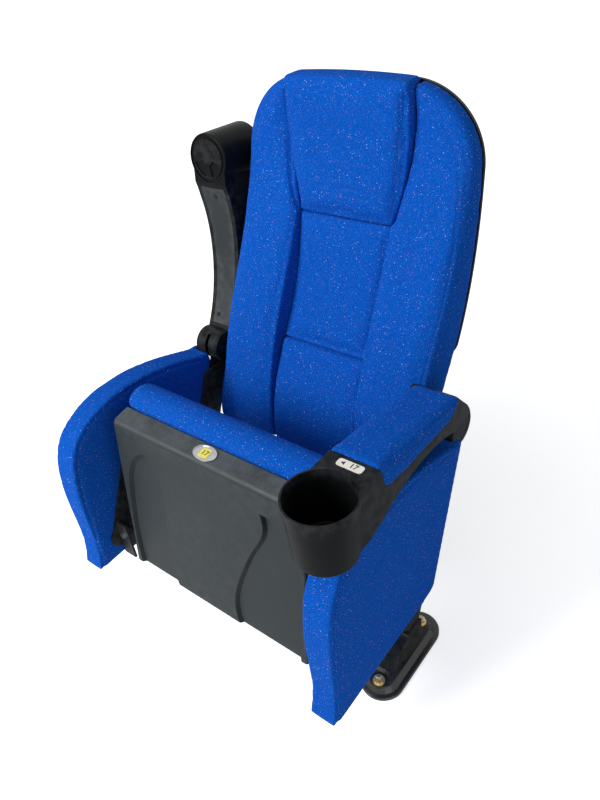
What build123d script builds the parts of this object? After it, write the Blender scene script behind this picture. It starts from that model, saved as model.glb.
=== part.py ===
from build123d import *
import math
import os

# A tip-up auditorium seat on two standards that bolt to the floor. It is drawn with the
# seat tipped up, the left arm raised and the right arm lowered. Left and right are as seen
# from the front. +X is right, the front is -Y, +Z is up, and the origin is the centre of
# the four floor bolts, on the floor. Lengths in mm, angles in degrees.

# ---- layout
SEAT_WIDTH = 470.0
SEAT_SIDE_GAP = 31.0  # side of the seat to the inner side of an arm, seen from above
BACK_WIDTH = 500.0
BACK_SIDE_GAP = 16.0  # side of the back to the inner side of a raised arm
ARM_WIDTH = 88.0
BOLT_PITCH = 160.0  # front floor bolt to rear floor bolt
PANEL_OFFSET = 16.0  # inner side of an arm to the inner face of its side panel
PANEL_THICKNESS = 57.0
DRUM_OFFSET = 18.0  # middle of an arm to the middle of its drum, inward
COLUMN_OFFSET = 10.0  # middle of an arm to the middle of its column, inward
FOOT_OFFSET = 4.0  # middle of an arm to the middle of its foot, outward

# ---- foot and column
FOOT_LENGTH = 222.0
FOOT_WIDTH = 88.0
FLANGE_HEIGHT = 6.0
FOOT_HEIGHT = 16.0
FOOT_STEP = 9.0  # edge of the flange to the raised part
FOOT_ROUNDING = 3.0  # of the raised part's upper edge
BOLT_HOLE = 11.0
BOLT_SEAT_RADIUS = 17.0
BOLT_SEAT_DEPTH = 3.0
COLUMN_WIDTH = 36.0
COLUMN_DEPTH = 50.0
COLUMN_WALL = 2.5
COLUMN_BASE_Y = 32.0
SOCKET_HEIGHT = 34.0
SOCKET_WALL = 6.0
WASHER_RADIUS = 11.5
WASHER_THICKNESS = 2.5
NUT_ACROSS_FLATS = 16.0
NUT_HEIGHT = 8.4
NUT_BORE = 10.1

# ---- side panel
PANEL_BOTTOM_Z = 118.0
PANEL_FRONT_Y = -247.0
PANEL_TOP_Z = 489.0
PANEL_REAR_Y = 194.0
PANEL_REAR_Z = 437.0
PANEL_BEVEL = 14.0  # of its lower rear corner
PANEL_BOARD = 18.0  # thickness of the board inside
PANEL_MARGIN = 14.0  # board edge to the face of the padding
PLATE_THICKNESS = 5.0
PLATE_STRIP = 24.0  # side plate in front of the column

# ---- arm hinge
ARM_PIVOT_Y = 217.0
ARM_PIVOT_Z = 440.0
ARM_RAISE = 96.6  # lowered to raised
DRUM_WIDTH = 62.0
DRUM_RADIUS = 35.0
DRUM_WALL = 4.0
DRUM_CLEARANCE = 4.0  # round the drum, in the side panel
NECK_THICKNESS = 6.0
NECK_WIDTH = 32.0
EYE_RADIUS = 19.0
PIN_DIAMETER = 12.0
SLOT_CLEARANCE = 1.2  # each side of the neck in the slot of the drum
BUSH_WALL = 2.0
RUNNING_FIT = 0.06  # radial, between a shaft and its bush

# ---- arm
RIM_Z = 596.0
CUP_Y = -180.0
CUP_RIM_RADIUS = 57.0
CUP_FOOT_RADIUS = 50.5
CUP_DEPTH = 110.0
CUP_WALL = 3.0
CUP_DISC_RADIUS = 40.0  # the part of the cup's underside inside the groove
CUP_GROOVE_DEPTH = 5.0
CUP_RECESS_ANGLE = 60.0  # of each of the two recesses in the cup's underside
CUP_FLOOR_RISE = 9.0  # underside to the floor of the cup
ARM_WALL = 3.5
PAD_FRONT_Y = -95.0
PAD_REAR_Y = 150.0
PAD_REAR_Z = 560.0
PAD_THICKNESS = 15.0
PAD_CROWN = 3.0
PAD_SKIRT = 46.0  # rim height to the lower edge of the pad's sides
SKIRT_THICKNESS = 7.0
ARCH_Z = 507.0  # highest part of the arm's underside
ARM_REAR_DROP = 18.0  # of the cavity's ceiling, behind the pad
COVER_THICKNESS = 3.5
COVER_CLEARANCE = 0.3
SCREW_RADIUS = 2.2
SCREW_HEAD_RADIUS = 4.5
SCREW_HEAD_HEIGHT = 2.2
SCREW_LENGTH = 16.0
SCREW_OFFSET = 2.0  # middle of an arm to its screws, inward
SCREW_SINK = 1.4  # of the screw heads into the cover
LABEL_LENGTH = 44.0  # number plate on the arm
LABEL_WIDTH = 15.0
LABEL_THICKNESS = 1.2

# ---- seat
SEAT_PIVOT_Y = -84.0
SEAT_PIVOT_Z = 353.0
SEAT_TIP = 84.0  # tipped up to down
LIP_REAR_Y = -95.0
LIP_REAR_Z = 487.0
LIP_FRONT_Y = -134.0
LIP_FRONT_Z = 480.0
PAN_FOOT_Y = -182.0
PAN_FOOT_Z = 128.0
PAN_WALL = 4.0
PAN_DEPTH = 62.0
LIP_ROUNDING = 15.0
POCKET_DEPTH = 7.0  # of the two recesses in the pan's face
POCKET_SLOPE = 7.0  # width of its sloping wall
POCKET_TIP = 11.0  # half the width of its narrow upper end
POCKET_INSET = 12.0  # side of the pan to a recess
POCKET_TOP = 307.0  # pan's foot to the top of a recess
POCKET_RUN_OUT = 22.0  # how far a recess is cut past the pan's foot
# inner edge of each recess, from the foot up: middle of the seat to the edge, height on the pan
POCKET_WAIST_LEFT = ((96, -22), (112, 60), (115, 130), (110, 200), (118, 260))
POCKET_WAIST_RIGHT = ((78, -22), (58, 30), (66, 95), (86, 150), (116, 215), (138, 258))
BOARD_DEPTH = 40.0  # outer face of the pan to the seat board
CUSHION_TOP_Z = 516.0
CUSHION_REAR_Y = -18.0
CUSHION_FOOT_Z = 112.0
CUSHION_INSET = 6.0  # side of the pan to the side of the cushion
SEAT_BOARD = 12.0
EAR_THICKNESS = 5.0
EAR_RADIUS = 26.0
AXLE_DIAMETER = 16.0
AXLE_GAP = 5.0  # side of the pan to the collar
AXLE_COLLAR = 13.0  # radius of its thicker part, outside the seat
BADGE_LENGTH = 52.0
BADGE_WIDTH = 33.0
SPRING_WIRE = 3.0
SPRING_TURNS = 5
SPRING_STEPS = 10  # straight lengths in one turn

# ---- tip-up stop
STOP_Y = -176.0
STOP_Z = 170.0
BUMPER_RADIUS = 9.0
BUMPER_LENGTH = 14.0
BUMPER_OFFSET = 21.0  # side plate to the middle of a buffer
BUMPER_Z = 188.0
BRACKET_HEIGHT = 92.0
STOP_GAP = 0.4  # buffer to lug

# ---- backrest
BACK_CROWN = 18.0  # middle of the top edge above its ends
BACK_TOP_Z = 990.0
BACK_BOTTOM_Z = 272.0
SHOULDER_DROP = 6.0  # top edge of the bolsters below the head panel's
BACK_CORNER_RADIUS = 142.0
BACK_FOOT_RADIUS = 26.0
PANEL_SEAM_X = 107.0  # seam between the middle and the bolsters
LOWER_SEAM_Z = 496.0
HEAD_HEIGHT = 253.0  # head seam to the top edge
MIDDLE_THICKNESS = 44.0
BOLSTER_THICKNESS = 78.0
HEAD_THICKNESS = 38.0
SHOULDER_THICKNESS = 23.0  # of a bolster beside the head panel
BACK_FOOT_Y = 218.0
BACK_KNEE_Y = 232.0
BACK_KNEE_Z = 385.0
BACK_WAIST_Y = 318.0
BACK_WAIST_Z = 540.0
BACK_HEAD_Y = 399.0
BACK_HEAD_DROP = 100.0  # top edge to the rearmost place of the back
BACK_TOP_Y = 396.0
BACK_BOARD = 12.0
BOARD_INSET = 12.0  # edge of the padding to the edge of the back board
PADDING_WRAP = 18.0  # how far the padding reaches behind the board's front
SHELL_DEPTH = 30.0
SHELL_ROUNDING = 8.0  # of its rear edge
SHELL_WALL = 4.0
SHELL_BOTTOM_Z = 505.0
SHELL_POST_RADIUS = 9.0
BOLSTER_ROUNDING = 20.0  # of the outer front edge of a bolster
SEAM_GAP = 0.6
HEAD_FLARE = 28.0  # the head panel is wider than the middle panel by this, each side
BRACKET_REACH = 100.0  # side of the back to the inner end of a bracket
BRACKET_Z = 366.0
BRACKET_DEPTH = 38.0

PARTS = {}
SIDES = {"left": -1, "right": 1}

# ---- sizes that follow from the ones above
CLEAR_WIDTH = max(SEAT_WIDTH + 2 * SEAT_SIDE_GAP, BACK_WIDTH + 2 * BACK_SIDE_GAP)
ARM_X = (CLEAR_WIDTH + ARM_WIDTH) / 2
FOOT_X = ARM_X + FOOT_OFFSET
COLUMN_X = ARM_X - COLUMN_OFFSET
DRUM_X = ARM_X - DRUM_OFFSET
SCREW_X = ARM_X - SCREW_OFFSET
PANEL_INNER_X = CLEAR_WIDTH / 2 + PANEL_OFFSET
PANEL_OUTER_X = PANEL_INNER_X + PANEL_THICKNESS
PLATE_OUTER_X = PANEL_INNER_X
PLATE_INNER_X = PLATE_OUTER_X - PLATE_THICKNESS
BUMPER_X = PLATE_INNER_X - BUMPER_OFFSET
HEAD_SEAM_Z = BACK_TOP_Z - HEAD_HEIGHT
BRACKET_X = BACK_WIDTH / 2 - BRACKET_REACH
COLUMN_SLOPE = (ARM_PIVOT_Y - COLUMN_BASE_Y) / (ARM_PIVOT_Z - FOOT_HEIGHT)
COLUMN_LEAN = math.degrees(math.atan(COLUMN_SLOPE))
COLUMN_TOP_Z = ARM_PIVOT_Z - DRUM_RADIUS - DRUM_CLEARANCE - COLUMN_DEPTH / 2 * COLUMN_SLOPE
PIN_RADIUS = PIN_DIAMETER / 2
BUSH_BORE = PIN_RADIUS + RUNNING_FIT
AXLE_RADIUS = AXLE_DIAMETER / 2
AXLE_BORE = AXLE_RADIUS + RUNNING_FIT


def side_solid(outline, near_x, far_x):
    """Solid between two X planes from an outline drawn in side view (Y, Z)."""
    return extrude(Plane.YZ.offset(near_x) * make_face(outline), far_x - near_x)


def plan_solid(outline, low_z, high_z):
    """Solid between two heights from an outline drawn from above (X, Y)."""
    return extrude(Plane.XY.offset(low_z) * make_face(outline), high_z - low_z)


def cross_rod(radius, y, z, near_x, far_x):
    """Round rod along X."""
    rod = extrude(Plane.YZ.offset(near_x) * Circle(radius), far_x - near_x)
    return Pos(0, y, z) * rod


def column_y(z):
    """Middle of the column, in Y, at a height."""
    return COLUMN_BASE_Y + (z - FOOT_HEIGHT) * COLUMN_SLOPE


def on_side(shape, sign):
    """A shape drawn on the right, or its mirror image for the left."""
    return shape if sign > 0 else mirror(shape, about=Plane.YZ)


def store(name, shape):
    PARTS[name] = shape


def turned(shape, y, z, angle):
    """Turns a shape about an axis along X through (y, z)."""
    return Pos(0, y, z) * Rot(angle, 0, 0) * Pos(0, -y, -z) * shape


# ---- standard: foot, column, side plate, neck -------------------------------------------
def column_slice(margin, low_z, high_z):
    """The leaning outline of the column, grown by a margin, between two heights."""
    half_depth = COLUMN_DEPTH / 2 + margin
    half_width = COLUMN_WIDTH / 2 + margin
    outline = Polyline(
        (column_y(low_z) - half_depth, low_z),
        (column_y(low_z) + half_depth, low_z),
        (column_y(high_z) + half_depth, high_z),
        (column_y(high_z) - half_depth, high_z),
        close=True,
    )
    return side_solid(outline, COLUMN_X - half_width, COLUMN_X + half_width)


def foot_spine():
    """Wedge on the foot that rises from behind the front bolt to the column's socket."""
    half_width = COLUMN_WIDTH / 2 + SOCKET_WALL
    front_y = BOLT_SEAT_RADIUS - BOLT_PITCH / 2
    top_z = FOOT_HEIGHT + SOCKET_HEIGHT
    outline = Polyline(
        (front_y, FOOT_HEIGHT - 1),
        (front_y + SOCKET_WALL, FOOT_HEIGHT + SOCKET_WALL),
        (column_y(top_z) - COLUMN_DEPTH / 2, top_z),
        (column_y(FOOT_HEIGHT) - COLUMN_DEPTH / 2, FOOT_HEIGHT - 1),
        close=True,
    )
    return side_solid(outline, COLUMN_X - half_width, COLUMN_X + half_width)


def foot():
    flange = extrude(SlotOverall(FOOT_LENGTH, FOOT_WIDTH, rotation=90), FLANGE_HEIGHT)
    flange = chamfer(flange.edges().group_by(Axis.Z)[-1], FLANGE_HEIGHT / 4)
    low = SlotOverall(FOOT_LENGTH - 2 * FOOT_STEP, FOOT_WIDTH - 2 * FOOT_STEP, rotation=90)
    high = SlotOverall(FOOT_LENGTH - 4 * FOOT_STEP, FOOT_WIDTH - 4 * FOOT_STEP, rotation=90)
    rise = loft([Pos(0, 0, FLANGE_HEIGHT - 1) * low, Pos(0, 0, FOOT_HEIGHT) * high])
    rise = fillet(rise.edges().group_by(Axis.Z)[-1], FOOT_ROUNDING)
    body = Pos(FOOT_X, 0, 0) * (flange + rise)
    body += foot_spine()
    body += column_slice(SOCKET_WALL, FOOT_HEIGHT - 1, FOOT_HEIGHT + SOCKET_HEIGHT)
    body -= column_slice(0, FOOT_HEIGHT, FOOT_HEIGHT + SOCKET_HEIGHT + 1)
    for y in (-BOLT_PITCH / 2, BOLT_PITCH / 2):
        seat = Cylinder(BOLT_SEAT_RADIUS, SOCKET_HEIGHT * 2, align=(Align.CENTER, Align.CENTER, Align.MIN))
        body -= Pos(FOOT_X, y, FOOT_HEIGHT - BOLT_SEAT_DEPTH) * seat
        body -= Pos(FOOT_X, y, 0) * Cylinder(BOLT_HOLE / 2, FOOT_HEIGHT * 4)
    return body


def column():
    tube = column_slice(0, FOOT_HEIGHT, COLUMN_TOP_Z)
    corners = tube.edges().filter_by(lambda e: abs(e.tangent_at(0.5).Z) > 0.5)
    tube = fillet(corners, COLUMN_WALL * 2)
    return tube - column_slice(-COLUMN_WALL, FOOT_HEIGHT - 1, COLUMN_TOP_Z - PLATE_THICKNESS)


def neck():
    """Plate with an eye that carries the arm's pin, welded on top of the column."""
    low_z = COLUMN_TOP_Z
    half = NECK_WIDTH / 2
    outline = Polyline(
        (column_y(low_z) - half, low_z),
        (column_y(low_z) + half, low_z),
        (ARM_PIVOT_Y + EYE_RADIUS * 0.8, ARM_PIVOT_Z),
        (ARM_PIVOT_Y - EYE_RADIUS * 0.8, ARM_PIVOT_Z),
        close=True,
    )
    near_x = DRUM_X - NECK_THICKNESS / 2
    far_x = DRUM_X + NECK_THICKNESS / 2
    plate = side_solid(outline, near_x, far_x)
    plate += cross_rod(EYE_RADIUS, ARM_PIVOT_Y, ARM_PIVOT_Z, near_x, far_x)
    return plate - cross_rod(PIN_RADIUS, ARM_PIVOT_Y, ARM_PIVOT_Z, near_x - 1, far_x + 1)


def drum_reach():
    """X of the inner and the outer end of the drum."""
    return DRUM_X - DRUM_WIDTH / 2, DRUM_X + DRUM_WIDTH / 2


def arm_pin():
    inner, outer = drum_reach()
    pin = cross_rod(PIN_RADIUS, ARM_PIVOT_Y, ARM_PIVOT_Z, inner + DRUM_WALL, outer - DRUM_WALL)
    return pin


def side_plate():
    """Steel plate from the column to the seat's axle and down to the tip-up stop."""
    column_foot = SEAT_PIVOT_Z - 3 * EAR_RADIUS
    column_crook = SEAT_PIVOT_Z - 2 * EAR_RADIUS
    column_head = SEAT_PIVOT_Z + 2 * EAR_RADIUS - PLATE_THICKNESS
    strip = COLUMN_DEPTH / 2 + PLATE_STRIP
    hub = Pos(SEAT_PIVOT_Y, SEAT_PIVOT_Z) * Circle(EAR_RADIUS)
    stop = Pos(STOP_Y, STOP_Z) * Circle(EAR_RADIUS)
    web = make_face(Polyline(
        (SEAT_PIVOT_Y, SEAT_PIVOT_Z + EAR_RADIUS),
        (column_y(column_crook) - strip, column_crook),
        (column_y(column_head) - strip, column_head),
        (column_y(column_head) + COLUMN_DEPTH / 2, column_head),
        (column_y(column_foot) + COLUMN_DEPTH / 2, column_foot),
        (STOP_Y, STOP_Z - EAR_RADIUS),
        (STOP_Y - EAR_RADIUS, STOP_Z),
        (SEAT_PIVOT_Y - EAR_RADIUS, SEAT_PIVOT_Z),
        close=True,
    ))
    return extrude(Plane.YZ.offset(PLATE_INNER_X) * (web + hub + stop), PLATE_THICKNESS)


def seat_axle():
    """Shouldered stub axle, welded to the side plate, that the seat turns on."""
    tip = ear_x()[0] - EAR_THICKNESS * 2
    collar = cross_rod(AXLE_COLLAR, SEAT_PIVOT_Y, SEAT_PIVOT_Z, SEAT_WIDTH / 2 + AXLE_GAP, PLATE_INNER_X)
    return collar + cross_rod(AXLE_RADIUS, SEAT_PIVOT_Y, SEAT_PIVOT_Z, tip, PLATE_INNER_X)


def stop_bracket():
    """Angle on the side plate that stands in front of the tipped seat."""
    reach = PLATE_INNER_X - BUMPER_X + BUMPER_RADIUS + PLATE_THICKNESS
    plate = Box(reach, PLATE_THICKNESS, BRACKET_HEIGHT, align=(Align.MAX, Align.MAX, Align.CENTER))
    foot_plate = Box(PLATE_THICKNESS, BRACKET_HEIGHT / 3, BRACKET_HEIGHT, align=(Align.MAX, Align.MIN, Align.CENTER))
    both = plate + Pos(0, -PLATE_THICKNESS, 0) * foot_plate
    both = Pos(PLATE_INNER_X, STOP_Y, STOP_Z) * both
    shank = Pos(BUMPER_X, STOP_Y, BUMPER_Z) * Rot(90, 0, 0) * Cylinder(BUMPER_RADIUS / 3, 4 * PLATE_THICKNESS)
    return both - shank


def bumper(y, z):
    """Rubber buffer with its face toward the rear."""
    button = Cylinder(BUMPER_RADIUS, BUMPER_LENGTH, align=(Align.CENTER, Align.CENTER, Align.MAX))
    button = fillet(button.edges().group_by(Axis.Z)[0], BUMPER_RADIUS / 4)
    return Pos(BUMPER_X, y, z) * Rot(90, 0, 0) * button


def stop_bolt():
    head = extrude(RegularPolygon(BUMPER_RADIUS * 0.8, 6), BUMPER_RADIUS * 0.6)
    shank = Cylinder(BUMPER_RADIUS / 3, PLATE_THICKNESS, align=(Align.CENTER, Align.CENTER, Align.MAX))
    return Pos(BUMPER_X, STOP_Y - PLATE_THICKNESS, BUMPER_Z) * Rot(90, 0, 0) * (head + shank)


def down_stop():
    """Bracket and buffer over the seat's lug, where the lug comes when the seat is down."""
    lug_rear = STOP_Y + BUMPER_LENGTH + STOP_GAP + PLATE_THICKNESS + STOP_GAP
    button = mirror(bumper(0, BUMPER_Z), about=Plane.XZ)
    button = Pos(0, lug_rear + BUMPER_LENGTH, 0) * button
    shelf = Box(
        PLATE_INNER_X - BUMPER_X + BUMPER_RADIUS,
        PLATE_THICKNESS,
        BUMPER_RADIUS * 3,
        align=(Align.MAX, Align.MIN, Align.CENTER),
    )
    shelf = Pos(PLATE_INNER_X, lug_rear + BUMPER_LENGTH, BUMPER_Z) * shelf
    button = turned(button, SEAT_PIVOT_Y, SEAT_PIVOT_Z, SEAT_TIP)
    shelf = turned(shelf, SEAT_PIVOT_Y, SEAT_PIVOT_Z, SEAT_TIP)
    return button, shelf


def return_spring():
    """Torsion spring round the collar of the axle, wound in short straight lengths."""
    radius = AXLE_COLLAR + SPRING_WIRE
    pitch = SPRING_WIRE * 1.12
    start_x = SEAT_WIDTH / 2 + SPRING_WIRE * 2.5
    points = []
    for step in range(SPRING_TURNS * SPRING_STEPS + 1):
        turn = step / SPRING_STEPS
        angle = 2 * math.pi * turn
        points.append((start_x + pitch * turn, radius * math.cos(angle), radius * math.sin(angle)))
    coil = Polyline(*points)
    wire_end = Plane(origin=coil @ 0, z_dir=coil % 0)
    wire = sweep(wire_end * RegularPolygon(SPRING_WIRE / 2, 6), path=coil, transition=Transition.RIGHT)
    return Pos(0, SEAT_PIVOT_Y, SEAT_PIVOT_Z) * wire


# ---- side panel ---------------------------------------------------------------------------
def panel_outline(margin):
    """Side view of a panel: leaning front, rounded shoulder, sloping rear edge."""
    front_y = PANEL_FRONT_Y + margin
    rear_y = PANEL_REAR_Y - margin
    rear_z = PANEL_REAR_Z - margin / 2
    bottom_z = PANEL_BOTTOM_Z + margin
    length = rear_y - front_y
    height = PANEL_TOP_Z - margin - bottom_z
    shares = ((0, 0), (0.032, 0.41), (0.043, 0.65), (0.107, 0.857), (0.256, 0.97), (0.48, 1), (0.76, 0.935), (0.93, 0.868))
    rise = Spline(*[(front_y + along * length, bottom_z + up * height) for along, up in shares])
    foot_y = rear_y - (rear_z - bottom_z) / 3
    rest = Polyline(
        rise @ 1,
        (rear_y, rear_z),
        (foot_y + PANEL_BEVEL / 3, bottom_z + PANEL_BEVEL),
        (foot_y - PANEL_BEVEL * 2, bottom_z + PANEL_BEVEL / 2),
        rise @ 0,
    )
    return [rise, rest]


def panel_envelope():
    block = side_solid(panel_outline(0), PANEL_INNER_X, PANEL_OUTER_X)
    block -= column_slice(1, FOOT_HEIGHT, PANEL_TOP_Z)
    inner, outer = drum_reach()
    hollow = cross_rod(DRUM_RADIUS + DRUM_CLEARANCE, ARM_PIVOT_Y, ARM_PIVOT_Z, inner, outer + DRUM_CLEARANCE)
    return block - hollow


def panel_board():
    middle = (PANEL_INNER_X + PANEL_OUTER_X) / 2
    near_x = middle - PANEL_BOARD / 2
    board = side_solid(panel_outline(PANEL_MARGIN), near_x, near_x + PANEL_BOARD)
    board -= column_slice(PANEL_MARGIN, FOOT_HEIGHT, PANEL_TOP_Z)
    inner, outer = drum_reach()
    reach = DRUM_RADIUS + DRUM_CLEARANCE + PANEL_MARGIN
    return board - cross_rod(reach, ARM_PIVOT_Y, ARM_PIVOT_Z, inner, outer + PANEL_THICKNESS)


# ---- arm, drawn lowered, on the right -----------------------------------------------------
def arm_plan(margin, front_y, rear_y):
    """The arm from above: straight beside the cup, narrowing to the drum at the rear."""
    inner, outer = drum_reach()
    drum_rear = ARM_PIVOT_Y + DRUM_RADIUS
    share = (rear_y - PAD_FRONT_Y) / (drum_rear - PAD_FRONT_Y)
    near_x = ARM_X - ARM_WIDTH / 2
    far_x = ARM_X + ARM_WIDTH / 2
    rear_near_x = near_x + (inner - near_x) * share
    rear_far_x = far_x + (outer - far_x) * share
    return Polyline(
        (near_x + margin, front_y),
        (far_x - margin, front_y),
        (far_x - margin, PAD_FRONT_Y),
        (rear_far_x - margin, rear_y),
        (rear_near_x + margin, rear_y),
        (near_x + margin, PAD_FRONT_Y),
        close=True,
    )


def arm_side():
    """The arm from the side, without its pad's thickness left out."""
    cup_foot_z = RIM_Z - CUP_DEPTH
    top = Polyline((CUP_Y, RIM_Z), (PAD_FRONT_Y, RIM_Z), (PAD_REAR_Y, PAD_REAR_Z))
    tangent = math.radians(20)
    rear_end = (ARM_PIVOT_Y + DRUM_RADIUS * math.cos(tangent), ARM_PIVOT_Z + DRUM_RADIUS * math.sin(tangent))
    shoulder = (ARM_PIVOT_Y - SKIRT_THICKNESS, PAD_REAR_Z - ARM_REAR_DROP * 3)
    rear = Spline(top @ 1, shoulder, rear_end, tangents=[(1, -0.6), (0.3, -1)])
    root = math.radians(152)
    root_end = (ARM_PIVOT_Y + DRUM_RADIUS * math.cos(root), ARM_PIVOT_Z + DRUM_RADIUS * math.sin(root))
    arch_y = (ARM_PIVOT_Y + CUP_Y) / 2 - 25
    under = Spline(
        root_end,
        (ARM_PIVOT_Y - 85, ARCH_Z - 26),
        (ARM_PIVOT_Y - 150, ARCH_Z - 8),
        (arch_y, ARCH_Z),
        (CUP_Y + 90, ARCH_Z - 8),
        (CUP_Y + CUP_FOOT_RADIUS, cup_foot_z + 1),
    )
    closing = Polyline(under @ 1, (CUP_Y, cup_foot_z + 1), top @ 0)
    across = Line(rear_end, root_end)
    return [top, rear, across, under, closing]


def arm_block():
    """The arm's outer form without cup and drum."""
    side = side_solid(arm_side(), 0, ARM_X * 2)
    return side & plan_solid(arm_plan(0, CUP_Y, ARM_PIVOT_Y + DRUM_RADIUS), 0, RIM_Z * 2)


def pad_side():
    lower_z = RIM_Z - PAD_SKIRT
    crown = PAD_CROWN
    top = Spline(
        (PAD_FRONT_Y, RIM_Z + crown),
        ((PAD_FRONT_Y + PAD_REAR_Y) / 2, (RIM_Z + PAD_REAR_Z) / 2 + 2 * crown),
        (PAD_REAR_Y, PAD_REAR_Z + crown),
    )
    rest = Polyline(
        top @ 1,
        (PAD_REAR_Y - 40, lower_z - 9),
        (PAD_FRONT_Y + PAD_SKIRT, lower_z - 2),
        (PAD_FRONT_Y + 13, lower_z + 3),
        top @ 0,
    )
    return [top, rest]


def pad_core():
    """What the pad sits over: the moulding's narrower, lower middle."""
    side = Polyline(
        (PAD_FRONT_Y - 1, RIM_Z - PAD_THICKNESS),
        (PAD_REAR_Y + 1, PAD_REAR_Z - PAD_THICKNESS),
        (PAD_REAR_Y + 1, 0),
        (PAD_FRONT_Y - 1, 0),
        close=True,
    )
    plan = plan_solid(arm_plan(SKIRT_THICKNESS, CUP_Y, PAD_REAR_Y + 1), 1, RIM_Z)
    return side_solid(side, 0, ARM_X * 2) & plan


def arm_pad():
    width = ARM_WIDTH / 2
    block = side_solid(pad_side(), ARM_X - width, ARM_X + width)
    top_edges = block.edges().filter_by(lambda e: e.center().Z > PAD_REAR_Z - 2 and abs(abs(e.center().X - ARM_X) - width) < 0.1)
    block = fillet(top_edges.filter_by(GeomType.BSPLINE), PAD_THICKNESS * 0.6)
    return block - pad_core()


def cup_outer():
    cup_z = RIM_Z - CUP_DEPTH
    cone = Cone(CUP_FOOT_RADIUS, CUP_RIM_RADIUS, CUP_DEPTH, align=(Align.CENTER, Align.CENTER, Align.MIN))
    cone = fillet(cone.edges().group_by(Axis.Z)[0], CUP_WALL)
    return Pos(ARM_X, CUP_Y, cup_z) * cone


def cup_inner():
    cup_z = RIM_Z - CUP_DEPTH
    depth = CUP_DEPTH - CUP_FLOOR_RISE
    taper = (CUP_RIM_RADIUS - CUP_FOOT_RADIUS) / CUP_DEPTH
    low = CUP_FOOT_RADIUS - CUP_WALL + taper * CUP_FLOOR_RISE
    high = CUP_RIM_RADIUS - CUP_WALL + taper
    cone = Cone(low, high, depth + 1, align=(Align.CENTER, Align.CENTER, Align.MIN))
    cone = fillet(cone.edges().group_by(Axis.Z)[0], CUP_WALL)
    return Pos(ARM_X, CUP_Y, cup_z + CUP_FLOOR_RISE) * cone


def cup_relief():
    """Groove and two recesses in the underside of the cup."""
    depth = CUP_GROOVE_DEPTH
    groove = Cylinder(CUP_FOOT_RADIUS - CUP_WALL, depth) - Cylinder(CUP_DISC_RADIUS, depth * 2)
    ring = Cylinder(CUP_DISC_RADIUS - CUP_WALL, depth) - Cylinder(CUP_DISC_RADIUS / 3, depth * 2)
    reach = CUP_DISC_RADIUS * 2
    half = math.radians(CUP_RECESS_ANGLE / 2)
    relief = groove
    for sign in (-1, 1):
        wedge = Polyline((0, 0), (reach, reach * math.tan(half)), (reach, -reach * math.tan(half)), close=True)
        sector = plan_solid(wedge, -depth, depth)
        relief += ring & (Rot(0, 0, 90 + sign * 45) * sector)
    return Pos(ARM_X, CUP_Y, RIM_Z - CUP_DEPTH) * relief


def drum_slot():
    """Sector of the drum's wall that the neck passes through over the arm's travel."""
    neck_angle = 270 - COLUMN_LEAN
    spread = math.degrees(math.asin((NECK_WIDTH / 2 + SLOT_CLEARANCE) / (DRUM_RADIUS - DRUM_WALL)))
    first = neck_angle - spread
    sweep_angle = ARM_RAISE + 2 * spread
    reach = DRUM_RADIUS + DRUM_WALL
    steps = 8
    rim = [(0.0, 0.0)]
    for step in range(steps + 1):
        angle = math.radians(first + sweep_angle * step / steps)
        far = reach / math.cos(math.radians(sweep_angle / steps / 2))
        rim.append((far * math.cos(angle), far * math.sin(angle)))
    half = NECK_THICKNESS / 2 + SLOT_CLEARANCE
    sector = side_solid(Polyline(*rim, close=True), DRUM_X - half, DRUM_X + half)
    return Pos(0, ARM_PIVOT_Y, ARM_PIVOT_Z) * sector


def arm_cavity(margin):
    """Room inside the arm, open below; with a margin, the outline of its cover."""
    inset = SKIRT_THICKNESS + ARM_WALL + margin
    front_y = CUP_Y + CUP_RIM_RADIUS + CUP_WALL + margin
    rear_y = ARM_PIVOT_Y - DRUM_RADIUS - ARM_WALL - margin
    plan = plan_solid(arm_plan(inset, front_y, rear_y), 0, RIM_Z)
    drop = PAD_THICKNESS + ARM_WALL
    side = Polyline(
        (front_y - 1, RIM_Z - drop),
        (PAD_FRONT_Y, RIM_Z - drop),
        (PAD_REAR_Y, PAD_REAR_Z - drop),
        (rear_y + 1, PAD_REAR_Z - drop - ARM_REAR_DROP),
        (rear_y + 1, 0),
        (front_y - 1, 0),
        close=True,
    )
    return side_solid(side, 0, ARM_X * 2) & plan


def screw_places():
    """Y of the two screws in the arm's underside."""
    return CUP_Y + CUP_RIM_RADIUS + 22, ARM_PIVOT_Y - DRUM_RADIUS - 22


def screw_hole(y):
    """Upright hole that reaches past the cover and the boss behind it."""
    return Pos(SCREW_X, y, ARCH_Z - SCREW_LENGTH) * Cylinder(SCREW_RADIUS, SCREW_LENGTH * 6)


def arm_moulding():
    inner, outer = drum_reach()
    drum = cross_rod(DRUM_RADIUS, ARM_PIVOT_Y, ARM_PIVOT_Z, inner, outer)
    bore = cross_rod(DRUM_RADIUS - DRUM_WALL, ARM_PIVOT_Y, ARM_PIVOT_Z, inner - 1, outer + 1)
    block = arm_block()
    cut_pad = side_solid(pad_side(), 0, ARM_X * 2) - pad_core()
    shell = block - cut_pad - arm_cavity(0)
    for y in screw_places():
        boss = Pos(SCREW_X, y, 0) * Cylinder(SCREW_RADIUS * 2.5, RIM_Z * 2)
        shell += (boss & block & arm_cavity(0)) - cover_band()
    shell += cup_outer() + drum
    shell -= cup_inner()
    shell -= cup_relief()
    shell -= bore
    shell -= drum_slot()
    for y in screw_places():
        shell -= screw_hole(y)
    return shell


def cover_band():
    """Layer of the arm's outer form along its underside."""
    block = arm_block()
    return block - Pos(0, 0, COVER_THICKNESS) * block


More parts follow.
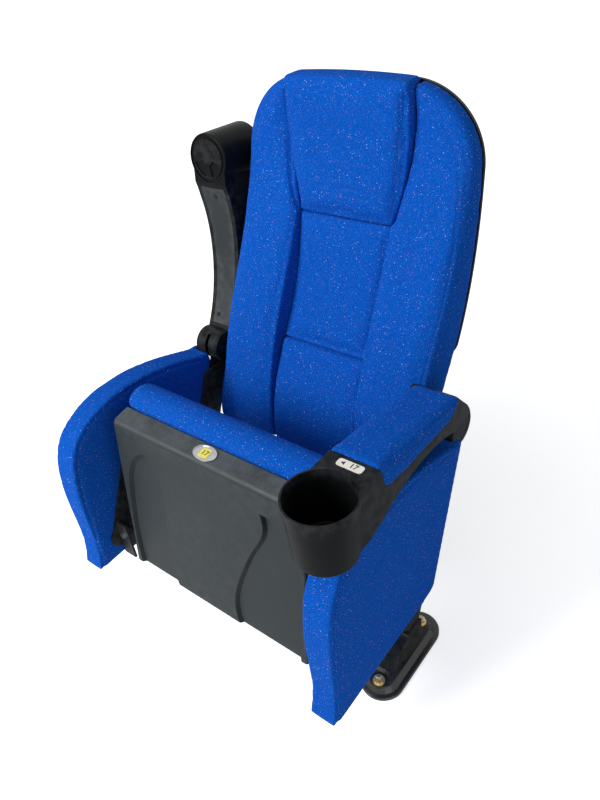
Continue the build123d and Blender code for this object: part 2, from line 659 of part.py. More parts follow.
def arm_cover():
    cover = cover_band() & arm_cavity(COVER_CLEARANCE)
    for y, low_z in screw_seats():
        sink = Cylinder(SCREW_HEAD_RADIUS + COVER_CLEARANCE, 20, align=(Align.CENTER, Align.CENTER, Align.MAX))
        cover -= Pos(SCREW_X, y, low_z) * sink
        cover -= screw_hole(y)
    return cover


def screw_seats():
    """Where each screw's head meets the cover: (Y, Z), a little inside its lowest point."""
    under = cover_band()
    seats = []
    for y in screw_places():
        cover_here = under & Pos(SCREW_X, y, ARCH_Z) * Box(1, 1, ARM_WIDTH)
        seats.append((y, cover_here.bounding_box().min.Z + SCREW_SINK))
    return seats


def arm_screws():
    """The two pan-head screws in the arm's underside."""
    screws = []
    for y, low_z in screw_seats():
        head = Cylinder(SCREW_HEAD_RADIUS, SCREW_HEAD_HEIGHT, align=(Align.CENTER, Align.CENTER, Align.MAX))
        head = fillet(head.edges().group_by(Axis.Z)[0], SCREW_HEAD_HEIGHT / 2)
        shank = Cylinder(SCREW_RADIUS, SCREW_LENGTH, align=(Align.CENTER, Align.CENTER, Align.MIN))
        screws.append(Pos(SCREW_X, y, low_z) * (head + shank))
    return Compound(children=screws)


def arm_caps():
    """The two end plates of the drum, each with a boss toward the neck."""
    inner, outer = drum_reach()
    radius = DRUM_RADIUS - DRUM_WALL
    boss_radius = BUSH_BORE + BUSH_WALL * 2.5
    gap = NECK_THICKNESS / 2 + SLOT_CLEARANCE
    caps = []
    for start, direction in ((inner, 1), (outer, -1)):
        far = DRUM_X - direction * gap
        plate = cross_rod(radius, ARM_PIVOT_Y, ARM_PIVOT_Z, *sorted((start, start + direction * DRUM_WALL)))
        boss = cross_rod(boss_radius, ARM_PIVOT_Y, ARM_PIVOT_Z, *sorted((start, far)))
        bore = cross_rod(
            BUSH_BORE + BUSH_WALL,
            ARM_PIVOT_Y,
            ARM_PIVOT_Z,
            *sorted((start + direction * DRUM_WALL, far + direction)),
        )
        caps.append(plate + boss - bore)
    return Compound(children=caps)


def arm_bushes():
    inner, outer = drum_reach()
    gap = NECK_THICKNESS / 2 + SLOT_CLEARANCE
    bushes = []
    for start, far in ((inner + DRUM_WALL, DRUM_X - gap), (DRUM_X + gap, outer - DRUM_WALL)):
        ring = cross_rod(BUSH_BORE + BUSH_WALL, ARM_PIVOT_Y, ARM_PIVOT_Z, start, far)
        bushes.append(ring - cross_rod(BUSH_BORE, ARM_PIVOT_Y, ARM_PIVOT_Z, start - 1, far + 1))
    return Compound(children=bushes)


def arm_label():
    """Number plate on the arm, between cup and pad."""
    plate = extrude(RectangleRounded(LABEL_LENGTH, LABEL_WIDTH, LABEL_WIDTH * 0.3), LABEL_THICKNESS)
    return Pos(ARM_X + 2, (CUP_Y + CUP_RIM_RADIUS + PAD_FRONT_Y) / 2, RIM_Z) * plate


# ---- seat, drawn tipped up ----------------------------------------------------------------
PAN_LEAN = math.degrees(math.atan((LIP_FRONT_Y - PAN_FOOT_Y) / (LIP_FRONT_Z - PAN_FOOT_Z)))
PAN_LENGTH = math.hypot(LIP_FRONT_Y - PAN_FOOT_Y, LIP_FRONT_Z - PAN_FOOT_Z)


def pan_point(along, depth):
    """Point of the seat in side view: along the pan from its foot, and in from its face."""
    lean = math.radians(PAN_LEAN)
    y = PAN_FOOT_Y + along * math.sin(lean) + depth * math.cos(lean)
    z = PAN_FOOT_Z + along * math.cos(lean) - depth * math.sin(lean)
    return y, z


def pan_face_plane():
    """Plane of the pan's face, looking at it, with its foot as the origin."""
    lean = math.radians(PAN_LEAN)
    normal = (0, -math.cos(lean), math.sin(lean))
    return Plane(origin=(0, PAN_FOOT_Y, PAN_FOOT_Z), x_dir=(1, 0, 0), z_dir=normal)


def pan_side():
    return make_face(Polyline(
        (LIP_REAR_Y, LIP_REAR_Z),
        (LIP_FRONT_Y, LIP_FRONT_Z),
        (PAN_FOOT_Y, PAN_FOOT_Z),
        pan_point(0, PAN_DEPTH),
        pan_point(PAN_LENGTH - 45, PAN_DEPTH),
        close=True,
    ))


def pocket_face(grow, height, waist):
    """Outline of a recess, on the right: narrow above, waisted inside, open at the foot."""
    side_x = SEAT_WIDTH / 2 - POCKET_INSET
    tip_x = side_x * 0.66
    top = POCKET_TOP + grow
    outer = Spline(
        (tip_x + POCKET_TIP + grow, top),
        (side_x - 24 + grow, top * 0.87),
        (side_x - 6 + grow, top * 0.6),
        (side_x + grow, top * 0.25),
        (side_x - 8 + grow, -POCKET_RUN_OUT),
    )
    inner = Spline(*[(x - grow, along) for x, along in waist], (tip_x - POCKET_TIP - grow, top))
    face = make_face([outer, Line(outer @ 1, inner @ 0), inner, Line(inner @ 1, outer @ 0)])
    return pan_face_plane().offset(height) * face


def pan_pocket(margin, waist):
    """Recess in the pan's face, with sloping walls; with a margin, the material round it."""
    floor = -POCKET_DEPTH - margin
    return loft([pocket_face(margin, 1, waist), pocket_face(margin - POCKET_SLOPE, floor, waist)])


def seat_pan():
    half = SEAT_WIDTH / 2
    outer = extrude(Plane.YZ.offset(-half) * pan_side(), SEAT_WIDTH)
    face_edges = outer.edges().filter_by(lambda e: e.center().Y < LIP_REAR_Y - 20)
    foot_edges = face_edges.filter_by(Axis.X).sort_by(Axis.Z)
    outer = fillet(foot_edges[:1], PAN_WALL * 4.5)
    lip = outer.edges().filter_by(Axis.X).sort_by(lambda e: abs(e.center().Y - LIP_FRONT_Y) + abs(e.center().Z - LIP_FRONT_Z))
    outer = fillet(lip[:1], LIP_ROUNDING)
    rims = [e for e in outer.edges() if abs(abs(e.center().X) - half) < 0.1 and on_pan_face(e)]
    outer = fillet(rims, PAN_WALL * 2.2)
    room = offset(pan_side(), -PAN_WALL)
    rear = pan_point(0, PAN_WALL * 3)
    shift = Pos(rear[0] - PAN_FOOT_Y, rear[1] - PAN_FOOT_Z)
    hollow = extrude(Plane.YZ.offset(PAN_WALL - half) * (room + shift * room), SEAT_WIDTH - 2 * PAN_WALL)
    pan = outer - hollow
    for sign, waist in ((-1, POCKET_WAIST_LEFT), (1, POCKET_WAIST_RIGHT)):
        pan += on_side(pan_pocket(PAN_WALL, waist), sign) & outer
        pan -= on_side(pan_pocket(0, waist), sign)
    for sign in (-1, 1):
        near_x, far_x = sorted((sign * (half - PAN_WALL), sign * half))
        ear = cross_rod(EAR_RADIUS + 8, SEAT_PIVOT_Y, SEAT_PIVOT_Z, near_x, far_x)
        pan += ear
        pan -= cross_rod(AXLE_RADIUS + 2, SEAT_PIVOT_Y, SEAT_PIVOT_Z, near_x - 1, far_x + 1)
    return pan


def on_pan_face(edge):
    """True for an edge that bounds the pan's face, foot or lip, as seen from the front."""
    middle = edge.center()
    for along, depth in ((PAN_LENGTH / 2, 0), (0, PAN_DEPTH / 2), (PAN_LENGTH, 20)):
        y, z = pan_point(along, depth)
        reach = PAN_LENGTH * 0.2 if depth == 0 else PAN_DEPTH * 0.35
        if math.hypot(middle.Y - y, middle.Z - z) < reach:
            return True
    return middle.Y < pan_point(0, PAN_DEPTH * 0.3)[0] + 8


def seat_board():
    """Plywood board that closes the pan and carries cushion and ears."""
    half = SEAT_WIDTH / 2 - PAN_WALL * 3
    face = pan_face_plane().offset(-BOARD_DEPTH)
    height = PAN_LENGTH - 44
    board = Pos(0, height / 2 + 12) * RectangleRounded(2 * half, height, 20)
    return extrude(face * board, -SEAT_BOARD)


def cushion_side():
    """Side view of the seat cushion, with the nose over the pan's lip."""
    rear_depth = BOARD_DEPTH + SEAT_BOARD
    foot_front = pan_point(PAN_WALL * 2, rear_depth)
    top_z = CUSHION_TOP_Z
    nose = Spline(
        (LIP_REAR_Y + 1.5, LIP_REAR_Z + 2),
        (LIP_REAR_Y + 4, top_z - 14),
        (LIP_REAR_Y + 24, top_z - 1),
        (CUSHION_REAR_Y - 24, top_z - 4),
        (CUSHION_REAR_Y, top_z - 34),
    )
    foot = Polyline(
        nose @ 1,
        (CUSHION_REAR_Y, CUSHION_FOOT_Z + 14),
        (CUSHION_REAR_Y - 14, CUSHION_FOOT_Z),
        (pan_point(0, PAN_DEPTH)[0] + 2, CUSHION_FOOT_Z),
        (pan_point(0, PAN_DEPTH)[0] + 2, foot_front[1]),
        foot_front,
        pan_point(PAN_LENGTH - 30, rear_depth),
        (LIP_REAR_Y + 6, LIP_REAR_Z - 4),
        nose @ 0,
    )
    return [nose, foot]


def seat_cushion():
    half = SEAT_WIDTH / 2 - CUSHION_INSET
    cushion = side_solid(cushion_side(), -half, half)
    for sign in (-1, 1):
        ends = sorted((sign * (ear_x()[0] - 24), sign * (half + 1)))
        cushion -= cross_rod(EAR_RADIUS + 5, SEAT_PIVOT_Y, SEAT_PIVOT_Z, *ends)
    return cushion


def ear_x():
    """Inner and outer X of the right ear."""
    far_x = SEAT_WIDTH / 2 - PAN_WALL - 2
    return far_x - EAR_THICKNESS, far_x


def seat_ear():
    """Steel ear on the seat board, with a boss for the axle's bush."""
    near_x, far_x = ear_x()
    board_rear = BOARD_DEPTH + SEAT_BOARD
    lean = math.radians(PAN_LEAN)
    along = (SEAT_PIVOT_Z - PAN_FOOT_Z) * math.cos(lean) + (SEAT_PIVOT_Y - PAN_FOOT_Y) * math.sin(lean)
    web = make_face(Polyline(
        pan_point(along - EAR_RADIUS, board_rear),
        pan_point(along + EAR_RADIUS, board_rear),
        (SEAT_PIVOT_Y, SEAT_PIVOT_Z + AXLE_RADIUS * 1.6),
        (SEAT_PIVOT_Y, SEAT_PIVOT_Z - AXLE_RADIUS * 1.6),
        close=True,
    ))
    plate = extrude(Plane.YZ.offset(near_x) * web, EAR_THICKNESS)
    boss_x = near_x - EAR_THICKNESS
    boss_radius = AXLE_BORE + BUSH_WALL * 2.5
    plate += cross_rod(boss_radius, SEAT_PIVOT_Y, SEAT_PIVOT_Z, boss_x, far_x)
    flange_face = pan_face_plane().offset(-board_rear)
    flange = Pos(near_x - EAR_RADIUS / 2 + EAR_THICKNESS, along) * Rectangle(EAR_RADIUS, 2 * EAR_RADIUS)
    ear = plate + extrude(flange_face * flange, -EAR_THICKNESS / 2)
    return ear - cross_rod(AXLE_BORE + BUSH_WALL, SEAT_PIVOT_Y, SEAT_PIVOT_Z, boss_x - 30, far_x + 1)


def seat_bush():
    near_x, far_x = ear_x()
    near_x -= EAR_THICKNESS
    ring = cross_rod(AXLE_BORE + BUSH_WALL, SEAT_PIVOT_Y, SEAT_PIVOT_Z, near_x, far_x)
    return ring - cross_rod(AXLE_BORE, SEAT_PIVOT_Y, SEAT_PIVOT_Z, near_x - 1, far_x + 1)


def stop_lug():
    """Steel lug on the pan's side that meets the buffers at both ends of the travel."""
    half = SEAT_WIDTH / 2
    near_y = STOP_Y + BUMPER_LENGTH + STOP_GAP
    reach = BUMPER_X + BUMPER_RADIUS + 2 - half
    arm = Box(reach, PLATE_THICKNESS, BUMPER_RADIUS * 2.4, align=(Align.MIN, Align.MIN, Align.CENTER))
    flange = Box(PLATE_THICKNESS, BUMPER_RADIUS * 3, BUMPER_RADIUS * 2.4, align=(Align.MIN, Align.MIN, Align.CENTER))
    return Pos(half, near_y, BUMPER_Z) * (arm + flange)


def lip_plane():
    """Plane of the pan's lip, with its middle as the origin."""
    slope = math.atan2(LIP_REAR_Z - LIP_FRONT_Z, LIP_REAR_Y - LIP_FRONT_Y)
    middle = (0, (LIP_REAR_Y + LIP_FRONT_Y) / 2, (LIP_REAR_Z + LIP_FRONT_Z) / 2)
    return Plane(origin=middle, x_dir=(1, 0, 0), z_dir=(0, -math.sin(slope), math.cos(slope)))


def seat_badge():
    """Oval number badge on the lip, with a raised rim."""
    body = extrude(lip_plane() * Ellipse(BADGE_LENGTH / 2, BADGE_WIDTH / 2), 2.4)
    dish = lip_plane().offset(1.6) * Ellipse(BADGE_LENGTH / 2 - 2, BADGE_WIDTH / 2 - 2)
    return body - extrude(dish, 2)


def badge_insert():
    """Number square inside the badge's rim."""
    square = RectangleRounded(BADGE_WIDTH * 0.62, BADGE_WIDTH * 0.6, 1.5)
    return extrude(lip_plane().offset(1.6) * square, 0.6)


# ---- backrest -----------------------------------------------------------------------------
SPINE_LEANS = (0.0, 22.0, 27.0, 5.0, -3.0)  # of the board from upright, from its foot to its top


def spine(depths):
    """Side view line in front of the back board, with a depth at each of its stations."""
    stations = (
        (BACK_FOOT_Y, BACK_BOTTOM_Z),
        (BACK_KNEE_Y, BACK_KNEE_Z),
        (BACK_WAIST_Y, BACK_WAIST_Z),
        (BACK_HEAD_Y, BACK_TOP_Z - BACK_HEAD_DROP),
        (BACK_TOP_Y, BACK_TOP_Z),
    )
    points = []
    for (y, z), lean, depth in zip(stations, SPINE_LEANS, depths):
        angle = math.radians(lean)
        points.append((y - depth * math.cos(angle), z + depth * math.sin(angle)))
    return Spline(*points)


def level(depth):
    """The same depth at every station of the back."""
    return (depth,) * len(SPINE_LEANS)


def back_layer(near_depths, far_depths, half_width):
    """Curved slab between two lines of the back, across the whole width."""
    near = spine(near_depths)
    far = spine(far_depths)
    outline = [near, Line(near @ 1, far @ 1), far, Line(far @ 0, near @ 0)]
    return side_solid(outline, -half_width, half_width)


def back_mask(inset, bottom_z, drop=0.0):
    """The backrest's outline from the front, as a block from front to rear."""
    half = BACK_WIDTH / 2 - inset
    top_z = BACK_TOP_Z - inset - drop
    end_z = top_z - BACK_CROWN
    crown = ThreePointArc((-half, end_z), (0, top_z), (half, end_z))
    sides = Polyline((half, end_z), (half, bottom_z), (-half, bottom_z), (-half, end_z))
    face = make_face([crown, sides])
    upper = face.vertices().group_by(Axis.Y)[-1]
    face = fillet(upper, BACK_CORNER_RADIUS - inset)
    lower = face.vertices().group_by(Axis.Y)[0]
    face = fillet(lower, BACK_FOOT_RADIUS)
    return extrude(Plane.XZ.offset(-BACK_WIDTH * 2) * face, BACK_WIDTH * 4)


def front_block(outline):
    """A block from front to rear with an outline drawn from the front (X, Z)."""
    return extrude(Plane.XZ.offset(-BACK_WIDTH * 2) * make_face(outline), BACK_WIDTH * 4)


def front_box(near_x, far_x, low_z, high_z):
    return front_block(Polyline((near_x, low_z), (far_x, low_z), (far_x, high_z), (near_x, high_z), close=True))


def padding(depths):
    """Padding from a line of depths to behind the board's edge, with room for the board."""
    layer = back_layer(depths, level(-PADDING_WRAP), BACK_WIDTH / 2)
    room = back_layer(level(0), level(-PADDING_WRAP - 1), BACK_WIDTH)
    return layer - (room & back_mask(BOARD_INSET, BACK_BOTTOM_Z + BOARD_INSET))


def head_block(gap):
    """Front outline of the head panel: it widens upward from the seams of the middle panel."""
    half = PANEL_SEAM_X + gap
    wide = half + HEAD_FLARE
    low_z = HEAD_SEAM_Z - gap
    high_z = BACK_TOP_Z + BACK_CROWN
    side = Spline(
        (half, low_z),
        (half + HEAD_FLARE * 0.55, low_z + HEAD_HEIGHT * 0.25),
        (wide, low_z + HEAD_HEIGHT * 0.7),
        (wide - HEAD_FLARE * 0.2, high_z),
    )
    other = mirror(side, about=Plane.YZ)
    return front_block([side, Line(side @ 1, other @ 1), other, Line(other @ 0, side @ 0)])


def back_middle(low_z, high_z):
    half = PANEL_SEAM_X - SEAM_GAP / 2
    depths = (MIDDLE_THICKNESS, MIDDLE_THICKNESS, MIDDLE_THICKNESS, HEAD_THICKNESS, HEAD_THICKNESS)
    block = front_box(-half, half, low_z + SEAM_GAP / 2, high_z - SEAM_GAP / 2)
    return padding(depths) & block & back_mask(0, BACK_BOTTOM_Z)


def head_panel():
    depths = (MIDDLE_THICKNESS, MIDDLE_THICKNESS, MIDDLE_THICKNESS, HEAD_THICKNESS, HEAD_THICKNESS - SHELL_WALL)
    return padding(depths) & head_block(-SEAM_GAP / 2) & back_mask(0, BACK_BOTTOM_Z)


def back_bolster():
    knee = BOLSTER_THICKNESS * 0.72
    depths = (MIDDLE_THICKNESS, knee, BOLSTER_THICKNESS, SHOULDER_THICKNESS, SHOULDER_THICKNESS)
    half = PANEL_SEAM_X + SEAM_GAP / 2
    side = front_box(half, BACK_WIDTH, 0, BACK_TOP_Z * 2) - head_block(SEAM_GAP / 2)
    body = padding(depths) & side & back_mask(0, BACK_BOTTOM_Z, SHOULDER_DROP)
    front = body.faces().sort_by(SortBy.AREA)[-2:].sort_by(lambda face: face.center().Y)[0]
    rim = front.edges().filter_by(lambda edge: edge.center().X > half + HEAD_FLARE * 1.5)
    body = fillet(rim, BOLSTER_ROUNDING)
    notch = back_layer(level(-BACK_BOARD), level(-PADDING_WRAP - 1), BACK_WIDTH)
    low_z = BRACKET_Z - BRACKET_DEPTH / 2 - SEAM_GAP
    return body - (notch & front_box(BRACKET_X, BACK_WIDTH, low_z, low_z + BRACKET_DEPTH + 2 * SEAM_GAP))


def back_board():
    layer = back_layer(level(0), level(-BACK_BOARD), BACK_WIDTH)
    return layer & back_mask(BOARD_INSET, BACK_BOTTOM_Z + BOARD_INSET)


def back_shell():
    """Moulded rear shell on the padding's edge, with a sill and posts that reach the board."""
    inside = SHELL_WALL - SHELL_DEPTH
    outer = back_layer(level(-PADDING_WRAP), level(-SHELL_DEPTH), BACK_WIDTH) & back_mask(0, SHELL_BOTTOM_Z, SHOULDER_DROP)
    rear_face = outer.faces().sort_by(SortBy.AREA)[-2:].sort_by(lambda face: face.center().Y)[-1]
    outer = fillet(rear_face.edges(), SHELL_ROUNDING)
    room = back_layer(level(0), level(inside), BACK_WIDTH)
    shell = outer - (room & back_mask(SHELL_WALL, SHELL_BOTTOM_Z + SHELL_WALL, SHOULDER_DROP))
    reach = BACK_WIDTH / 2 - BOARD_INSET - BACK_FOOT_RADIUS
    stays = front_box(-reach, reach, SHELL_BOTTOM_Z, SHELL_BOTTOM_Z + SHELL_WALL)
    for x in (-PANEL_SEAM_X, PANEL_SEAM_X):
        for z in (BACK_WAIST_Z + BRACKET_DEPTH, BACK_TOP_Z - BACK_HEAD_DROP):
            stays += Pos(x, 0, z) * Rot(90, 0, 0) * Cylinder(SHELL_POST_RADIUS, BACK_TOP_Z)
    return shell + (back_layer(level(-BACK_BOARD), level(inside - 1), BACK_WIDTH) & stays)


def back_bracket():
    """Steel angle from the column to the rear of the back board."""
    low_z = BRACKET_Z - BRACKET_DEPTH / 2
    high_z = BRACKET_Z + BRACKET_DEPTH / 2
    far_x = PLATE_INNER_X
    near_x = far_x - PLATE_THICKNESS
    flange = back_layer(level(-BACK_BOARD), level(-BACK_BOARD - PLATE_THICKNESS), BACK_WIDTH * 2)
    flange = flange & front_box(BRACKET_X, far_x, low_z, high_z)
    box = flange.bounding_box()
    web = side_solid(Polyline(
        (column_y(low_z) - COLUMN_DEPTH / 2, low_z),
        (box.max.Y - BRACKET_DEPTH / 2, low_z),
        (box.max.Y, high_z),
        (column_y(high_z) - COLUMN_DEPTH / 2, high_z),
        close=True,
    ), near_x, far_x)
    return flange + web


def floor_bolts_at():
    """X and Y of the floor bolts on the right."""
    return [(FOOT_X, -BOLT_PITCH / 2), (FOOT_X, BOLT_PITCH / 2)]


def floor_washers():
    washers = []
    for sign in SIDES.values():
        for x, y in floor_bolts_at():
            ring = Cylinder(WASHER_RADIUS, WASHER_THICKNESS, align=(Align.CENTER, Align.CENTER, Align.MIN))
            ring -= Cylinder(BOLT_HOLE / 2, WASHER_THICKNESS * 4)
            washers.append(Pos(sign * x, y, FOOT_HEIGHT - BOLT_SEAT_DEPTH) * ring)
    return Compound(children=washers)


def floor_nuts():
    nuts = []
    for sign in SIDES.values():
        for x, y in floor_bolts_at():
            nut = extrude(RegularPolygon(NUT_ACROSS_FLATS / 2, 6, major_radius=False), NUT_HEIGHT)
            nut -= Cylinder(NUT_BORE / 2, NUT_HEIGHT * 4)
            nuts.append(Pos(sign * x, y, FOOT_HEIGHT - BOLT_SEAT_DEPTH + WASHER_THICKNESS) * nut)
    return Compound(children=nuts)


def build():
    for side, sign in SIDES.items():
        store(f"foot_{side}", on_side(foot(), sign))
        store(f"column_{side}", on_side(column(), sign))
        store(f"arm_neck_{side}", on_side(neck(), sign))
        store(f"arm_pin_{side}", on_side(arm_pin(), sign))
        store(f"side_plate_{side}", on_side(side_plate(), sign))
        store(f"seat_axle_{side}", on_side(seat_axle(), sign))
        store(f"stop_bracket_{side}", on_side(stop_bracket(), sign))
        store(f"return_spring_{side}", on_side(return_spring(), sign))
        envelope = panel_envelope()
        board = panel_board()
        store(f"panel_board_{side}", on_side(board, sign))
        store(f"panel_padding_{side}", on_side(envelope - board, sign))
        store(f"back_bolster_{side}", on_side(back_bolster(), sign))
        store(f"back_bracket_{side}", on_side(back_bracket(), sign))
        store(f"seat_ear_{side}", on_side(seat_ear(), sign))
        store(f"seat_bush_{side}", on_side(seat_bush(), sign))
        arm = {
            "moulding": arm_moulding(),
            "cover": arm_cover(),
            "screws": arm_screws(),
            "pad": arm_pad(),
            "caps": arm_caps(),
            "bushes": arm_bushes(),
        }
        for name, shape in arm.items():
            shape = on_side(shape, sign)
            if side == "left":
                shape = turned(shape, ARM_PIVOT_Y, ARM_PIVOT_Z, -ARM_RAISE)
            store(f"arm_{name}_{side}", shape)
    store("arm_number_plate", arm_label())
    store("floor_washers", floor_washers())
    store("floor_nuts", floor_nuts())
    store("seat_pan", seat_pan())
    store("seat_board", seat_board())
    store("seat_cushion", seat_cushion())
    store("seat_badge", seat_badge())
    store("seat_badge_insert", badge_insert())
    store("back_board", back_board())
    store("back_shell", back_shell())
    store("back_panel_lower", back_middle(BACK_BOTTOM_Z, LOWER_SEAM_Z))
    store("back_panel_middle", back_middle(LOWER_SEAM_Z, HEAD_SEAM_Z))
    store("head_panel", head_panel())
    lugs = [on_side(stop_lug(), sign) for sign in SIDES.values()]
    store("stop_lugs", Compound(children=lugs))
    buttons = []
    shelves = []
    bolts = []
    for sign in SIDES.values():
        button, shelf = down_stop()
        buttons.append(on_side(button, sign))
        shelves.append(on_side(shelf, sign))
        buttons.append(on_side(bumper(STOP_Y, BUMPER_Z), sign))
        bolts.append(on_side(stop_bolt(), sign))
    store("stop_buffers", Compound(children=buttons))
    store("down_stop_shelves", Compound(children=shelves))
    store("stop_bolts", Compound(children=bolts))


build()
os.makedirs("parts", exist_ok=True)
for part_name, part_shape in PARTS.items():
    export_step(part_shape, f"parts/{part_name}.step")
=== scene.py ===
"""A tip-up auditorium seat, dressed for rendering.

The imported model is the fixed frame. Each sub-assembly class gives the hard pieces of the frame
their finish and makes the soft and small pieces that the frame leaves out. Lengths are in metres.
Left and right are as seen from the front: +X is right, -Y is the front and +Z is up.
"""

from __future__ import annotations

import logging
import math
from collections.abc import Callable, Sequence
from dataclasses import dataclass, field
from enum import Enum

import bmesh
import bpy
import numpy as np
from mathutils import Matrix, Vector
from mathutils.bvhtree import BVHTree
from mathutils.kdtree import KDTree


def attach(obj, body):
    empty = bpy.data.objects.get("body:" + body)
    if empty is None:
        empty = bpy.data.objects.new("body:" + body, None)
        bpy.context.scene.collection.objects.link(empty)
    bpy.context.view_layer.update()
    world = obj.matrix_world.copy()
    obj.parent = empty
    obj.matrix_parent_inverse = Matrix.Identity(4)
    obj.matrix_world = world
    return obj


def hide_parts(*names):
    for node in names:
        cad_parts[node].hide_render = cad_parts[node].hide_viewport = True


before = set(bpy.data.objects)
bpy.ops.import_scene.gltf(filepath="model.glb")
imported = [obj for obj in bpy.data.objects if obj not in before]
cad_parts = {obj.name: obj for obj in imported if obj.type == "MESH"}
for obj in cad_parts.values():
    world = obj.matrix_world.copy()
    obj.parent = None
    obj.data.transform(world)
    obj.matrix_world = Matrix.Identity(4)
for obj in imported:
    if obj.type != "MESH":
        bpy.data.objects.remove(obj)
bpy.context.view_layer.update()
LOG = logging.getLogger("auditorium_seat")

Colour = tuple[float, float, float]
Point = tuple[float, float, float]
Socket = bpy.types.NodeSocket
Node = bpy.types.Node
Tree = bpy.types.NodeTree
Mesh = bpy.types.Mesh
Piece = bpy.types.Object
Value = Socket | float | tuple
Rule = Callable[[np.ndarray, np.ndarray], np.ndarray]

WELD = 0.00001  # corners closer than this are one
CLOTH_STEPS = 20
LEAST_RISE = 0.8  # share of the inset that the cloth always comes back
INK_THICKNESS = 0.00006
INK_LIFT = 0.0001  # ink above its plate


class Body(Enum):
    """The bodies that move on their own."""

    FRAME = "frame"
    SEAT = "seat"
    ARM_LEFT = "arm_left"
    ARM_RIGHT = "arm_right"


class Side(Enum):
    """The two sides of the seat."""

    LEFT = "left"
    RIGHT = "right"

    @property
    def sign(self) -> float:
        """Sign of X on this side."""
        return 1.0 if self is Side.RIGHT else -1.0

    def of(self, name: str) -> str:
        """Name of a piece on this side."""
        return f"{name}_{self.value}"


class Effect(Enum):
    """The shader node groups that several finishes share."""

    FLECK_CLOTH = "fleck_cloth"
    MOULD_GRAIN = "mould_grain"
    SCUFFS = "scuffs"
    EDGE_RUB = "edge_rub"
    # painted shade on the side walls of pressed-in recesses
    SLOPE_PAINTED_SHADE = "slope_painted_shade"
    SETTLED_DUST = "settled_dust"


# ---- node trees ---------------------------------------------------------------------------


class NodeSheet:
    """A node tree, with short ways to add and join nodes."""

    def __init__(self, tree: Tree) -> None:
        """Takes an empty tree."""
        self.tree = tree

    @classmethod
    def blank(cls, owner: bpy.types.Material | bpy.types.World) -> NodeSheet:
        """Empties the node tree of a material or world.

        Args:
            owner: The material or world.

        Returns:
            A sheet on its tree.
        """
        owner.use_nodes = True
        owner.node_tree.nodes.clear()
        return cls(owner.node_tree)

    def add(self, kind: str, settings: dict | None = None, **feeds: Value) -> Node:
        """Adds a node.

        Args:
            kind: Blender's name for the node type, without its ShaderNode.
            settings: Properties to set on the node.
            **feeds: Values or sockets for its inputs; an underscore stands for a space.

        Returns:
            The new node.
        """
        node = self.tree.nodes.new(f"ShaderNode{kind}")
        for name, value in (settings or {}).items():
            setattr(node, name, value)
        self.feed_all(node, **feeds)
        return node

    def feed(self, socket: Socket, value: Value) -> None:
        """Links a socket to an input, or sets the input's value.

        Args:
            socket: The input.
            value: A socket to link, a number or a tuple.
        """
        if isinstance(value, Socket):
            self.tree.links.new(value, socket)
        elif isinstance(value, tuple) and len(value) == 3 and socket.type == "RGBA":
            socket.default_value = (*value, 1.0)
        else:
            socket.default_value = value

    def feed_all(self, node: Node, **feeds: Value) -> None:
        """Feeds several inputs of a node; an underscore stands for a space."""
        for name, value in feeds.items():
            self.feed(node.inputs[name.replace("_", " ")], value)

    def maths(self, operation: str, first: Value, second: Value = 0.0) -> Socket:
        """A math node.

        Args:
            operation: Blender's name for the operation.
            first: First operand.
            second: Second operand.

        Returns:
            Its result.
        """
        node = self.add("Math", {"operation": operation})
        self.feed(node.inputs[0], first)
        self.feed(node.inputs[1], second)
        return node.outputs[0]

    def times(self, first: Value, second: Value) -> Socket:
        """The product of two values."""
        return self.maths("MULTIPLY", first, second)

    def remap(
        self, value: Value, low: float, high: float, to_low: float = 0.0, to_high: float = 1.0
    ) -> Socket:
        """A value mapped from low and high to to_low and to_high, and clamped to them."""
        ends = {"From_Min": low, "From_Max": high, "To_Min": to_low, "To_Max": to_high}
        return self.add("MapRange", Value=value, **ends).outputs[0]

    def mix(self, share: Value, first: Value, second: Value) -> Socket:
        """Mixes two colours.

        Args:
            share: Share of the second colour.
            first: First colour.
            second: Second colour.

        Returns:
            The mixed colour.
        """
        node = self.add("Mix", {"data_type": "RGBA", "blend_type": "MIX"})
        for index, value in ((0, share), (6, first), (7, second)):
            self.feed(node.inputs[index], value)
        return node.outputs[2]

    def noise(
        self, vector: Value, scale: Value, detail: float = 2.0, stretch: Point | None = None
    ) -> Socket:
        """Noise, stretched along the axes if asked.

        Args:
            vector: Coordinates.
            scale: Features per metre.
            detail: Octaves.
            stretch: Scale along each axis.

        Returns:
            The noise, 0 to 1.
        """
        if stretch:
            vector = self.add("Mapping", Vector=vector, Scale=stretch).outputs[0]
        return self.add("TexNoise", Vector=vector, Scale=scale, Detail=detail).outputs["Fac"]


